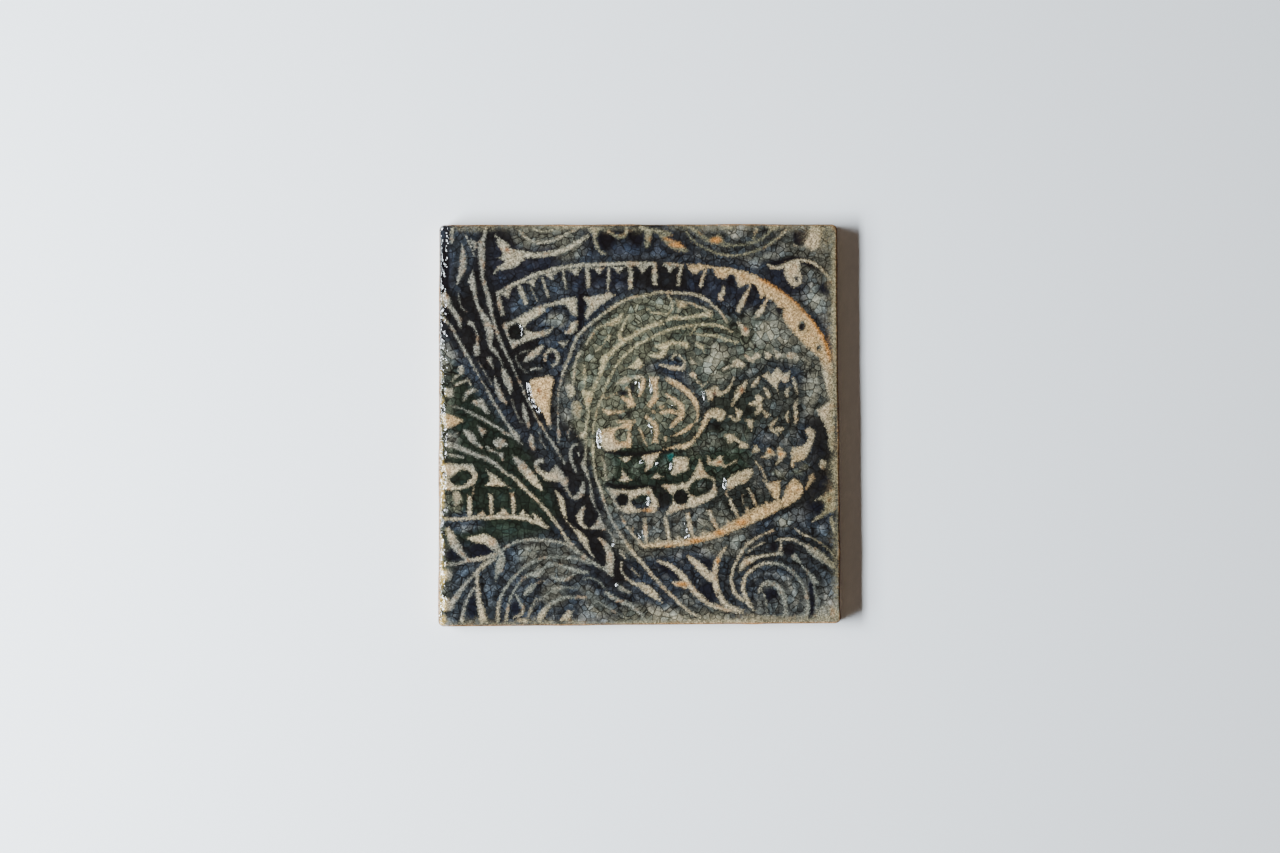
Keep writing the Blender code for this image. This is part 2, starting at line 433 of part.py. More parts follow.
def right_margin():
    """The lands that run down the right edge."""
    patch(98.9,57, 98.9,50, 98.8,44.4, 98,42.6, 97.1,44.4, 97,47, 96.5,49, 95.5,51, 94.2,53.6,
          95.6,54.2, 97,55.4)
    rail(1, 98.6,42, 98.5,39, 98.8,36)
    patch(93.6,30.9, 95,31.9, 97,33.3, 98.8,35, 99,31, 98.8,28, 97,27.4, 95.8,26.6, 94.4,26.1,
          92.9,25.4, 93.8,26.8, 94.9,27.6, 95.8,28.9, 95.9,30.1, 95.1,30.8)
    band((1,1.3,1.1,.5), 97.7,27.2, 97.9,25.4, 98.3,23.6, 98.8,21.8)
    patch(95,40.9, 96,41, 96.9,40.4, 96.5,39.2, 95.5,38.5, 94.8,39.6)


def upper_eyes():
    """The eye panel and its end triangle, under the upper teeth."""
    patch(16.1,75, 18,75.9, 20,77, 23,78.7, 26,80, 28.5,80.5, 31,81.4, 34.5,81.8, 34.8,79,
          34.7,76.9, 33.4,77.4, 32.6,78.4, 31.8,79.7, 30,79.8, 28.3,79.4, 27,78.9, 26.4,77.9,
          25,76.8, 23.6,76, 22.2,75, 21.9,74, 23,73.4, 26,73.4, 27.6,73.8, 28.9,74.6, 28,72.9,
          26.4,72, 24.6,71.5, 22,70.6, 20,69.8, 18.5,68.9, 17.7,70.6, 17,72.5)
    pit(19.5,73.2, 2, 14)
    patch(33.1,75.6, 35,75.7, 34.8,74.2, 34.1,72.8, 33,72.5, 31.4,73, 32.5,74)
    plate(36.2,82, 38,82, 40,82.4, 42.8,83, 44.3,82.3, 43,81.3, 40,79, 38.2,77.3, 37.2,76.2,
          36.6,76.6, 36.6,78, 37.3,79.6)
    leaf(2, 26.4,69.9, 24.4,68.1, 21.2,65.6)
    rail(.8, 23,63.8, 24.5,64.1, 25.9,64.1)
    band((.6,1,1,1), 26.6,65.9, 26.8,67.4, 27.6,68.4, 28.8,68.8)
    band((.9,1,1.1,1.1,.8), 28.7,68.8, 29.5,68, 29.9,66.8, 29.6,65.4, 28.4,64.6)
    plate(29.8,70.7, 32.6,71, 31.9,69.9, 31.3,69.1, 30.5,69.9)


def hood():
    """The hood of the inner paisley, with its ribs and leaves."""
    band((.7,.9,.7,.5,.5,.6,.9,1,1,.9,.9,.9,.9,.9,.9,.9,.9,.8,.8,.8,.9,1,.9,.8,.6), 29.9,45.5,
         30.2,47, 29.9,50, 30,53, 30,57, 30.6,60.5, 31.3,63.2, 32.4,66.3, 33.7,69.5, 34.8,72,
         36.7,74, 38.8,75.7, 41,77.4, 43.5,79.1, 46,80.6, 49,81.8, 52,82.2, 55,82.9, 58,82.9,
         61,82.7, 64,82.4, 66.6,81.4, 69.3,79.1, 71.2,77, 72.3,75.1)
    band((.4,.9,.9,.8,.5), 33.6,59.5, 33.8,62, 34.3,65.2, 35,67.5, 36,68.4)
    rail(.8, 36.8,69.9, 38,71.7, 39.3,73.5, 41,75)
    patch(31.6,60, 33.4,60.3, 34.2,59, 34.3,57.7, 33.4,56.8, 32.5,56.8, 32.2,58.2)
    patch(36.1,59.4, 37.4,58.6, 38.5,58.9, 39.4,60.3, 38.9,58, 38.4,56.2, 38,54.8, 37.3,53.9,
          36.5,55, 36.1,56.8, 35.8,58.3)
    rail(.8, 36.4,65.3, 36.6,62.5, 36.7,59)
    rail(.8, 37.3,54.4, 37.6,53, 37.1,51, 36.9,49.3)
    band((1,1.1,1.2,1.6,2.1,1.5,1.4,1.6,1.5,1.4,1.4,1.5,1.4), 38.5,58.7, 39.5,60.6, 40.5,62.7,
         41,64.6, 41.6,66.3, 43,67.7, 44.7,69.3, 46.4,70.9, 48.2,71.9, 50.3,73.2, 52.3,74.2,
         54.4,75, 56.5,75.4)
    band((.8,1.2,1.1,1.1,1.2,1.5,1.1), 56.8,75.8, 59,76.6, 61.5,76.5, 63.5,76.8, 65.5,77.2,
         67.2,77.4, 68.6,77)
    band((1.5,1.2,.9,.6), 45.7,70.8, 45.4,72.3, 46.2,74.5, 47.5,77.2)
    rail(.5, 39.3,68.2, 40.6,69.3, 41.8,70.5)
    leaf(1, 41.4,70.6, 42.5,71.7, 43.4,73)
    patch(40.9,74.6, 42.6,75.9, 44.5,76.9, 46.5,78, 46.1,76.3, 45,75, 43.2,74.6)
    band((.5,.7,.8,.7,.6,.6,.7,.5), 57.4,82.3, 58.4,80.8, 58.6,79.5, 58.1,78.2, 56.8,77.5,
         55.2,77.7, 53.6,77.9, 52,79.1)
    rail(.7, 59.4,81, 61.2,80.4, 63.2,80.2, 65.2,79.3, 67,78.6, 68.8,77.8)


def medallion_rim():
    """The rim lines of the medallion inside the hood."""
    band((.6,.6,.6,.7,.8,.8,.8,.9,.9,.9,.9,.9,1,.9,1,.9,.6), 38.5,47.5, 38.9,50, 39.6,53.4, 41,57.3,
         42.2,60.4, 43.4,62.9, 44.8,65.2, 46.6,67.3, 48.8,69.2, 51.4,70.7, 54.2,72.2, 57.2,73.4,
         60.4,74.2, 63.6,74.7, 67.4,74.9, 71,74.3, 73.6,72.8)
    rail(.6, 64.8,75, 63.9,73.7, 62.8,72.2)
    rail(.9, 64.3,72.7, 66.6,72.3, 69.4,72.1, 71.4,71.2, 75,70.3)
    patch(53.8,69.5, 55.6,70.4, 58,70.9, 60.5,70.9, 62.5,70.5, 62.9,69.3, 62,68.7, 60.6,69.6,
          59,69.8, 57.9,69.4, 57.3,67.9, 56.3,66.7, 54.5,66.3, 52.6,67.2, 54.3,68, 55.7,68.3,
          54.9,68.9)
    band((.6,.8,.7,.7,.9,1.3,1.3,1.3,1,.5), 58.3,66.3, 59,67.3, 60,67.2, 61,66.3, 61.5,65.1, 61,64,
         59.8,64, 58,64.3, 56.6,64.7, 55.2,64.9)
    plate(63.3,71, 65,70.5, 66.4,69.8, 66.6,67.8, 65.3,68.9, 64.3,69.9)
    plate(62.8,67.1, 64.9,65, 63,65)
    patch(62.6,62.5, 63.3,63.4, 64.6,62.4, 64.4,61.2, 63.4,61.5)
    rail(.6, 64.4,60.9, 65.4,60.1, 66,59.2)
    rail(.5, 67.1,60.7, 66,59.3)
    plate(46.7,64.2, 48.5,65.3, 49.8,67, 50.9,66.2, 51.4,64.9, 50.5,64, 49,63.6)
    rail(.9, 71,63.6, 72.8,64.4, 74.6,64.9)


def medallion():
    """The rosette, bars and arcs of the medallion."""
    band((.8,1.6,1.7,1.7,1.6,1.4,1,.8,.6), 56.6,61.6, 58.5,60.6, 60.3,59.5, 62,58.2, 63.4,56.7,
         64.3,55, 64.6,53.4, 64.7,52, 64.5,50.6)
    band((.6,1,1.4,1.6,1.6,1.6,1.3,1.1,.7), 56.8,57.9, 58,56.7, 59.4,55.8, 60.5,54.6, 60.9,53.2,
         60.5,51.9, 59.4,50.8, 58.4,49.9, 57.6,49.2)
    rail(1.2, 55.2,53.1, 57,53.2, 60.3,53)
    plate(52.6,62.1, 55.3,61.9, 54.9,60.6, 54.8,58, 55,56.6, 54.4,55.4, 52.9,54, 51.9,54.8,
          52.8,56.1, 53.6,57.6, 53.3,59.5)
    band((1,1.5,1.3,.5), 50.7,62.3, 51.1,60.8, 50.8,59, 50.1,57)
    band((.7,1.3,1.5,1.4,1.3,1.7), 51.7,52.3, 53,51, 54.2,49.8, 54.4,48, 54.2,46.6, 54,45.4)
    rail(.6, 50.2,49.3, 51.1,46.9, 52,44.5)
    for u, v, radius in ((55.8,54.4,.65), (53.6,53.2,.5), (56.7,46.5,.5)):
        dot(u, v, radius)
    patch(44.2,60.2, 45.3,61.3, 46.8,62.1, 48.6,61.9, 50.4,62.6, 50.6,61.6, 49.7,61.4, 48.6,61.3,
          47.6,60.6, 46.4,60.1)
    band((.6,.7,.7,.6), 46.9,59.5, 47.6,58.6, 47.9,57.2, 48.6,55.8)
    patch(46,57.3, 47.2,56.9, 48.3,56.9, 49.3,55, 48.6,54.2, 47.3,54.2, 46.9,55.2, 45.6,56.8)
    patch(41,54.2, 43.2,53.7, 45.2,53.5, 46.4,53.6, 46.2,52.8, 44,52.8, 42.4,52.3, 41.4,53)
    band((.7,.9,1,.8), 44.6,50.6, 46,51, 47.8,50.6, 49.4,51.2)
    patch(40.4,48.9, 42.5,49.3, 45,49.6, 47.3,50.8, 48.5,50.2, 48.1,48.3, 48.3,46.5, 48.2,44.5,
          46,44.1, 43.5,43.4, 41.5,43.6, 40.4,45.3)
    pool(44.3,48.3, 45.3,49.1, 46.8,49, 47.2,48, 47,46.5, 45.8,45.8, 44.6,46.3, 44.1,47.3)
    band((.4,.6,1.2,1.6,1.2,.9,1,1.5,1.6), 56,43.7, 58,44.2, 60,44.5, 61.6,44.5, 63.1,45.5,
         64.3,46.9, 65.4,48.4, 66.3,50, 67,51.5)
    leaf(1.1, 58.2,47.1, 61,48.2, 64.2,50.7)


def leaf_ring():
    """The ring of small leaves round the star, on the right."""
    patch(74.6,75.8, 76,75, 77.2,74.3, 77.8,73.2, 77.5,71.9, 76,72.1, 75.5,73.3, 74.9,74.6)
    patch(73.4,65.9, 74.9,66.3, 76.3,65.4, 76.8,64.6, 75.8,63.9, 74.4,64.2, 73.4,64.8)
    patch(76.1,67.4, 77.3,67.2, 78.2,66.7, 79,67.6, 80,67.9, 80.6,66.8, 79.4,66, 78.5,65.1,
          77.3,65.9)
    patch(81.4,67.9, 82.6,68, 83.4,67.2, 82.8,66.3, 81.9,66.2)
    patch(83.6,69, 84.8,68.2, 86,67.3, 85.5,66.4, 84.3,66.1, 83.8,67.3)
    patch(86.8,67.7, 88.3,68, 89.3,67.7, 90.2,66.5, 89.5,65.5, 88.7,66.2, 87.3,66.2)
    plate(80.8,62, 81.7,62.9, 82.4,63.3, 82.9,62.1, 83.5,63, 84.3,64, 85.2,64, 86,62.7, 86.9,62.9,
          87.9,63.4, 87.9,62, 87.5,60.8, 86.6,60.1, 85.5,60.7, 84.9,60, 84.7,58.6, 85,57.6, 83.8,59,
          82.3,60.5)
    patch(80.1,61.9, 80.1,60.6, 79.5,59.6, 78.1,59.1, 78.4,60.3, 79,61.2)
    patch(81.1,59.4, 82.3,58.6, 83.1,57.3, 82.7,56.3, 81.8,57.2)
    plate(78.9,57.1, 80,57.5, 81.4,56.6, 80.9,55.6, 81.1,54.6, 81,53.6, 82,52.9, 83.1,52.4,
          82.1,51.5, 81.3,51.3, 81,52.7, 80,52.9, 79.2,52.1, 78.8,53, 79.4,54.4, 78.4,54.5,
          76.9,54.9, 78,55.8, 79,56)
    band((.5,1.2,2,1.8,1.2,.6), 77.1,61.2, 76.5,60, 75.6,58.7, 74.8,57.4, 74,56.2, 73.1,54.6)
    patch(74,54.1, 75.4,53.7, 76.1,52.9, 75.4,52, 75.2,50.8, 74.4,50.9, 74.3,52.3)
    plate(76.3,51.2, 78.6,51.2, 78.5,49.8, 78.3,47.9, 77.6,48.9)
    leaf(1.1, 72.1,52.4, 73.4,51.6, 74.4,50.4)
    band((.5,1,1.1,.9,.5), 84.8,51.6, 83.4,50.2, 82.9,49.3, 83.6,48.3, 84.9,47.3)
    patch(83.7,48.6, 85.4,49.4, 86.2,48.7, 85,47.8)
    rail(.9, 88.4,61.7, 89,60, 89.7,57.4)
    band((.3,.9,1.2,1,.9,.4), 89.8,56.4, 89.1,55, 89,53.8, 89.2,52.5, 89.2,51.2, 88.8,49.7)
    leaf(1, 87.8,59.5, 87,58, 87.1,56.5)
    leaf(.9, 87.4,53.3, 86.9,51.7, 87.2,50.2)
    patch(66.6,58.5, 67.5,58.9, 69,59.6, 70,59.6, 70.2,58.5, 71.2,58.1, 71.2,57.3, 70,56.9, 69,57.2,
          68.4,56, 67.2,55.8, 66.9,57)
    band((1.1,1,.7,.5), 70.8,57.8, 72,58.3, 73,59.8, 73.8,61.7)
    patch(67.4,53.7, 69,54, 70.6,54, 71.7,53, 71.7,51.8, 70.8,50.8, 69.8,50.8, 68.9,51.4, 67.5,51.5,
          66.2,51.2, 66.3,52.5)


def chain():
    """The chain of small leaves below the star, and the crescent at its end."""
    patch(71,47.5, 72.5,47.8, 73.6,47.6, 74.5,46.7, 75.5,45.9, 76.6,45.6, 77.6,44.3, 76.2,43.8,
          75,44.1, 74.7,45.2, 73.8,45.6, 72.1,45.3, 71.8,46.4)
    plate(78,43, 78.9,45.1, 79.6,44.4, 80.5,43.3, 79.5,42.9)
    patch(80.3,41.7, 81.3,42.6, 82.2,44.4, 83.1,43.8, 84,42.5, 83,41.8, 81.8,41.4)
    patch(84.2,43.3, 84.8,44.4, 86,43.6, 86.9,42.5, 86,41.3, 85,40.2, 83.9,39.8, 84.5,41.5)
    patch(88,44.1, 89.5,44.3, 91,45, 92,46, 91.8,47.3, 91.3,48.4, 92.3,49.3, 93.4,49, 94,47.5,
          93.6,45.8, 93,44, 92,42, 91,40.9, 89.5,40.7, 88.8,40.2, 88.5,39, 87.8,39.4, 88,41.4,
          87.7,42.7)


def lower_bands():
    """The scroll band and the two lower eye panels."""
    plate(45.2,41.9, 48.4,42.3, 47.4,41, 46.4,40.5)
    plate(45.7,39.4, 46.6,38, 47.5,37, 48.2,36.2, 46.5,35.7, 44.8,36.2, 45.8,37.3)
    plate(50.5,42.4, 54,43, 55.7,43.3, 54.8,42, 54,40.9, 53.3,39.5, 51.9,38.3, 51.3,38.5, 51.8,39.6,
          51.5,40.8, 50.8,41.5)
    plate(52.9,36.6, 53.7,37.4, 54.6,38, 55.2,37.4, 56.1,37, 54.5,36.4)
    patch(58.3,41.2, 59,42, 61,42, 62.4,41.6, 62.4,40, 62.3,38.8, 60.8,38, 59,37.4, 58,37.8,
          58.4,39.4)
    patch(42.3,34.1, 45,34, 48,33.8, 50.5,34.3, 52.8,34.3, 53.9,32.5, 54.9,30.8, 54.7,29, 53.6,28,
          50.5,28.4, 48,27.9, 46,28.2, 44.6,29.6, 43.8,31.8)
    pit(45.9,31.4, 1.55, 12)
    pool(48,30.9, 49.4,31.9, 51,32.6, 52.3,32.2, 52.9,31, 52.3,29.6, 51,29.1, 49.3,29.4)
    patch(55.8,34.8, 57.5,35.3, 59.3,35.2, 61,35.7, 62.3,36.1, 63.2,37.3, 64,38.8, 64.7,40.4,
          65.2,41.6, 65.8,40.3, 66.5,38.8, 67.4,37.3, 68.7,36.7, 69.2,35.5, 69.4,34, 69.3,32.4,
          68,31.2, 66.5,30.6, 65,29.8, 63.3,29.3, 61.5,29.1, 60,28.6, 58.8,28.1, 56.4,27.4,
          57.5,29.4, 58.2,30.8, 58.4,32, 57,33.6)
    pit(60.4,31.9, 1.9, 14)
    pool(62.4,33.3, 63,35, 64.2,36.1, 66,36.5, 68.2,36.2, 68.6,35.2, 67.5,33.5, 66,32.5, 64.3,32.1,
         62.9,32.6)
    patch(71.8,34.2, 71.5,35.5, 72.2,36.7, 73.5,37.6, 75,38.3, 76.5,38.9, 78.1,39, 78.4,37.6,
          77.4,36.2, 76,35.2, 74.3,34.6, 73,33.7)
    plate(66.9,42.2, 67.6,42.3, 68,41, 69,41.2, 69.8,42.3, 71.2,42.2, 70.9,41, 71.3,40.2, 71.8,39.1,
          70,39.5, 68,39.8, 66.9,39.9)
    rail(.7, 71.2,39.5, 73,40.3, 74.5,41.1)
    plate(82.1,35.5, 84,35.9, 85.3,35.8, 85.2,33.5, 84.9,31.4, 84.3,30.8, 83.2,31.8, 82.2,33.4,
          80.7,36.4)
    rail(.6, 78.9,40.9, 80.4,39, 81.4,37, 82,35.4)


def lower_border():
    """The toothed border along the foot of the great paisley, with its pickets."""
    band((.7,1.2,1.5,1.8,1.9,2,2.2,2.7,3.4,3.2,2.4), 49.6,21.3, 51,20, 54,20.1, 58,20.4, 62,20.8,
         66,21.7, 70,23, 74,24.9, 78,26.9, 82,28.7, 85.5,30.3)
    patch(84.3,29.8, 85.5,31.6, 86.3,33.5, 87.3,35.4, 88.6,36.5, 90.3,35.3, 91.1,33.6, 90.3,31.8,
          88.5,30.4, 86.5,29.2)
    teeth = ((52.9,20.1, 54.8,22, 56.2,20.6), (57.7,20.6, 59.8,22.4, 61.6,21),
             (64.1,21.3, 66,23.6, 68.2,22.7), (70.3,23.1, 72,26.1, 74.4,25.6),
             (75.4,25.8, 76.8,29.3, 78.6,27.9), (80.6,28.1, 81.6,30.8, 84,29.8))
    for corners in teeth:
        tooth(1, *corners)
    pickets = ((1.2, 51.4,26.8, 51.6,24, 51.8,20.6), (1.2, 56.5,27, 57,24.2, 57.5,21.2),
               (1.4, 62,28.2, 62.5,25.4, 63.4,21.6), (1.2, 67.2,28.9, 68.2,26.6, 69.8,23.4),
               (1.1, 72.4,31.6, 73.4,29.3, 75.2,26), (.9, 77.1,34.1, 78.3,31.6, 79.9,28.2))
    for width, *route in pickets:
        rail(width, *route)


MOTIFS = (
    corner_stems, stem_sheaf, sheaf_foot, left_fan, left_border, foot_sprig, foot_arches, foot_flower,
    foot_scroll, fish_tail, top_ring, garland, bud, great_border, right_margin, upper_eyes, hood,
    medallion_rim, medallion, leaf_ring, chain, lower_bands, lower_border,
)


def face_corners():
    """The face's four corners about its middle, top left first and then clockwise."""
    half = np.array([TILE_WIDTH, TILE_LENGTH]) / 2
    insets = (TOP_LEFT_IN, TOP_RIGHT_IN, BOTTOM_RIGHT_IN, BOTTOM_LEFT_IN)
    ways = np.array([(-1, 1), (1, 1), (1, -1), (-1, -1)])
    return ways * (half - insets), ways


def placed(points):
    """Points of the pattern on the tile's face, in metres."""
    (top_left, top_right, bottom_right, bottom_left), _ = face_corners()
    across, up = (points / PATTERN_SIDE).T[:, :, None]
    bottom = (1 - across) * bottom_left + across * bottom_right
    top = (1 - across) * top_left + across * top_right
    return (1 - up) * bottom + up * top


def ring(inset):
    """The tile's outline with its rounded corners, set in by a distance."""
    radius = max(CORNER_RADIUS - inset, CORNER_RADIUS / 4)
    made = []
    for quarter, (corner, way) in enumerate(zip(*face_corners())):
        middle = corner - way * (inset + radius)
        first = math.pi - quarter * math.pi / 2
        for turn in np.linspace(first, first - math.pi / 2, ARC_STEPS + 1):
            made.append(middle + radius * np.array([math.cos(turn), math.sin(turn)]))
    return np.array(made)


def wound_round(points, outline):
    """Which points an outline winds round."""
    start, end = outline, np.roll(outline, -1, axis=0)
    x, y = points.T[:, :, None]
    left = (end[:, 0] - start[:, 0]) * (y - start[:, 1]) - (x - start[:, 0]) * (end[:, 1] - start[:, 1])
    rises = (start[:, 1] <= y) & (end[:, 1] > y) & (left > 0)
    falls = (start[:, 1] > y) & (end[:, 1] <= y) & (left < 0)
    return rises.sum(axis=1) != falls.sum(axis=1)


def raised_at(points, rim, shapes):
    """Which points lie on the rim or on a land, the later shapes over the earlier ones."""
    raised = ~wound_round(points, rim)
    for is_land, outline in shapes:
        low, high = outline.min(axis=0), outline.max(axis=0)
        near = np.flatnonzero(((points >= low) & (points <= high)).all(axis=1))
        raised[near[wound_round(points[near], outline)]] = is_land
    return raised


def looped(loops):
    """The points of some closed loops, and the edges round each."""
    edges = []
    for loop in loops:
        first = len(edges)
        edges += [(first + k, first + (k + 1) % len(loop)) for k in range(len(loop))]
    return np.vstack(loops), edges


def triangulated(points, edges):
    """A triangulation that keeps the given edges."""
    step = CLEAN_STEP / PATTERN_SIDE * TILE_WIDTH
    corners, _, faces, *_ = delaunay_2d_cdt([tuple(p) for p in points], edges, [], 0, step)
    return np.array([tuple(corner) for corner in corners]), np.array(faces)


def land_edges(faces, raised):
    """The edges that part a land from the ground."""
    beside = {}
    for face, is_land in zip(faces, raised):
        for a, b in zip(face, np.roll(face, -1)):
            beside.setdefault((min(a, b), max(a, b)), set()).add(is_land)
    return [edge for edge, kinds in beside.items() if len(kinds) == 2]


def join_corners(points, faces, raised):
    """Where lands meet corner to corner, raises the smallest ground triangle there, until none do."""
    sides = points[faces[:, 1:]] - points[faces[:, :1]]
    areas = np.abs(sides[:, 0, 0] * sides[:, 1, 1] - sides[:, 0, 1] * sides[:, 1, 0])
    while True:
        count = np.zeros(len(points), int)
        for edge in land_edges(faces, raised):
            count[list(edge)] += 1
        crossed = np.flatnonzero(count > 2)
        if not len(crossed):
            return
        for corner in crossed:
            ground = np.flatnonzero((faces == corner).any(axis=1) & ~raised)
            if len(ground):
                raised[ground[np.argmin(areas[ground])]] = True


def face_layout():
    """The face's points and triangles, with which of the triangles are raised."""
    edge, rim = ring(TOP_ARRIS), ring(RIM_WIDTH)
    shapes = [(is_land, placed(outline)) for is_land, outline in outlines]
    every, faces = triangulated(*looped([edge, rim] + [outline for _, outline in shapes]))
    raised = raised_at(every[faces].mean(axis=1), rim, shapes)
    kept = land_edges(faces, raised)
    used, ends = np.unique(kept, return_inverse=True)
    points, edges = looped([edge])
    edges += [tuple(pair) for pair in ends.reshape(-1, 2) + len(points)]
    points, faces = triangulated(np.vstack([points, every[used]]), edges)
    raised = raised_at(points[faces].mean(axis=1), rim, shapes)
    join_corners(points, faces, raised)
    return points, faces, raised


def move_ring(verts, start, end, height):
    """Moves the points of one ring of the tile's side onto another, at a height."""
    for vert in verts:
        nearest = np.argmin(np.hypot(*(start - vert.co.xy).T))
        vert.co = (*end[nearest], height)


def glazed_material(name, finish):
    colour, roughness = finish
    material = bpy.data.materials.new(name)
    material.use_nodes = True
    shader = material.node_tree.nodes["Principled BSDF"]
    shader.inputs["Base Color"].default_value = colour
    shader.inputs["Roughness"].default_value = roughness
    shader.inputs["Metallic"].default_value = 0.0
    return material


def glaze_faces(mesh):
    """Gives the lands the pale glaze, the ground the dark one, and the sides and back bare clay."""
    finishes = (("pale_glaze", PALE_GLAZE), ("dark_glaze", DARK_GLAZE), ("bare_clay", BARE_CLAY))
    levels = (THICKNESS, THICKNESS - RELIEF_DEPTH)
    for name, finish in finishes:
        mesh.materials.append(glazed_material(name, finish))
    for face in mesh.polygons:
        below = [face.center.z < level - CLEAN_STEP * RELIEF_DEPTH for level in levels]
        face.material_index = sum(below)


def stamped_tile():
    """The tile as one solid, its back on the ground and its stamped face up."""
    points, faces, raised = face_layout()
    ground = THICKNESS - RELIEF_DEPTH
    bm = bmesh.new()
    verts = [bm.verts.new((x, y, ground)) for x, y in points]
    sheet = [bm.faces.new([verts[k] for k in face]) for face in faces]
    lands = [face for face, is_land in zip(sheet, raised) if is_land]
    lifted = bmesh.ops.extrude_face_region(bm, geom=lands)["geom"]
    top = [part for part in lifted if isinstance(part, bmesh.types.BMVert)]
    bmesh.ops.translate(bm, vec=(0, 0, RELIEF_DEPTH), verts=top)
    bmesh.ops.delete(bm, geom=lands, context="FACES")

    arris, outline, foot = ring(TOP_ARRIS), ring(0), ring(BACK_ARRIS)
    border = [edge for edge in bm.edges if edge.is_boundary]
    move_ring({vert for edge in border for vert in edge.verts}, arris, outline, THICKNESS - TOP_ARRIS)
    for start, end, height in ((outline, outline, BACK_ARRIS), (outline, foot, 0)):
        border = bmesh.ops.extrude_edge_only(bm, edges=border)["geom"]
        lower = [part for part in border if isinstance(part, bmesh.types.BMVert)]
        border = [part for part in border if isinstance(part, bmesh.types.BMEdge)]
        border = [edge for edge in border if edge.is_boundary]
        move_ring(lower, start, end, height)
    bmesh.ops.edgeloop_fill(bm, edges=border)
    bmesh.ops.delete(bm, geom=[vert for vert in bm.verts if not vert.link_faces], context="VERTS")
    bmesh.ops.recalc_face_normals(bm, faces=bm.faces)

    mesh = bpy.data.meshes.new("stamped_tile")
    bm.to_mesh(mesh)
    bm.free()
    glaze_faces(mesh)
    tile = bpy.data.objects.new("stamped_tile", mesh)
    bpy.context.scene.collection.objects.link(tile)


for startup in list(bpy.data.objects):
    bpy.data.objects.remove(startup)
for motif in MOTIFS:
    motif()
stamped_tile()
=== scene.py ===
"""The looks of the stamped pottery tile: softened relief, pooled crackle glaze and bare clay."""

import math

import bmesh
import bpy
import numpy as np
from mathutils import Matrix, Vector


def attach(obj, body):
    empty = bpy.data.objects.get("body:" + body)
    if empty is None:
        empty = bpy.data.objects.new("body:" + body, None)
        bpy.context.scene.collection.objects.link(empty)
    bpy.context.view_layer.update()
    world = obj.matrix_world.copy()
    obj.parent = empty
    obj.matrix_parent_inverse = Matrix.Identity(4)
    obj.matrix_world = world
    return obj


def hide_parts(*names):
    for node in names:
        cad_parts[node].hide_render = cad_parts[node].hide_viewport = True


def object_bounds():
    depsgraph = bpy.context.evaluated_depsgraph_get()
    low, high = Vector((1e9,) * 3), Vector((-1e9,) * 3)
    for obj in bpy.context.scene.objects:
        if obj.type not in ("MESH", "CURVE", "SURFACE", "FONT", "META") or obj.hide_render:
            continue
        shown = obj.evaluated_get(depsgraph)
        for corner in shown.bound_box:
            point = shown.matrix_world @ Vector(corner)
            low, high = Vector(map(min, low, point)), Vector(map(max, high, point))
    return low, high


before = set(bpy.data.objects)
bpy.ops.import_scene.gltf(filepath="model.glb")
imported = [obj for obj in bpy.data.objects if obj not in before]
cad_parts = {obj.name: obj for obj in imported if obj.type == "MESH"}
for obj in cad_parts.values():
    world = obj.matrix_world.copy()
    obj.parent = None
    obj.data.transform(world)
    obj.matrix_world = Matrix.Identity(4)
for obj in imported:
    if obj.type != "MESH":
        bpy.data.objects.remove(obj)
cad_low, cad_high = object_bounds()

# The tile's relief in metres, as the solid has it
MM = 0.001
RELIEF_DEPTH = 1.2 * MM

# The tile's corners: their radius in pattern units, and how far each is drawn in, in millimetres
CORNER_RADIUS = 1.4
TOP_LEFT_IN = (0.25, 0.12)
TOP_RIGHT_IN = (1.00, 0.00)
BOTTOM_RIGHT_IN = (0.00, 0.87)
BOTTOM_LEFT_IN = (0.00, 0.00)

# The pattern is laid out in hundredths of the tile's side, so that a unit is about a millimetre
SIDE = 100.0
CELL = 0.1
REACH = 2.4
GRID_START = -1.0
GRID_CELLS = int(round((SIDE + 2) / CELL)) + 1
SPAN_STEPS = 6
ROUND_SIDES = 24
JOIN_SOFTNESS = 0.18
FULL, FAINT = 1.0, 0.55

# How strokes and teeth end and swell, in pattern units and shares of their width or length
NARROWED_END = 0.8
LEAF_POINT = 0.15
LEAF_SWELL = 0.7
DROP_HEAD = 0.25
DROP_REACH = 1.12
TOOTH_TIP = 0.33
TOOTH_HOLLOW = 0.15

# The glaze's surface over the lands and in the ground, in pattern units and shares of the relief
WALL_OUT = 0.75
WALL_IN = 0.75
CROWN = 0.12
CROWN_RUN = 0.6
GLAZE_LEVEL = 0.62
UNEVEN = 0.015
SOFTENINGS = 2

# The raised rim and the rounded shoulder outside it
RIM_LAND = 1.15
SHOULDER = 1.3
EDGE_WAVER = 0.28
EDGE_WAVER_FADE = 4

# The left side's wider rim and its lumpy slope, and how both fade further in and at the side's ends
LEFT_SIDE = (3, 1)
LEFT_ENDS = (0, 3)
LEFT_RIM = 0.6
LEFT_SHOULDER = 0.9
LEFT_SLOPE = 0.12
LEFT_REACH = 2.3
LEFT_LUMPS = 0.22

# Soft noise over the face: each swell's share, its size in pattern units and its random seed
RIM_SWELLS = ((0.45, 5, 3),)
GLAZE_SWELLS = ((1, 3.2, 5), (0.6, 1.4, 6))
WASH_SWELLS = ((0.8, 3, 21), (0.5, 1.2, 22))
LUMP_SWELLS = ((0.6, 1.5, 31), (0.4, 0.8, 32))
GLOSS_SWELLS = ((0.6, 2.5, 41),)
EDGE_SWELL = 6
EDGE_SEEDS = (11, 12)
FAR_SIDE_NOISE = 20
NOISE_MARGIN = 2

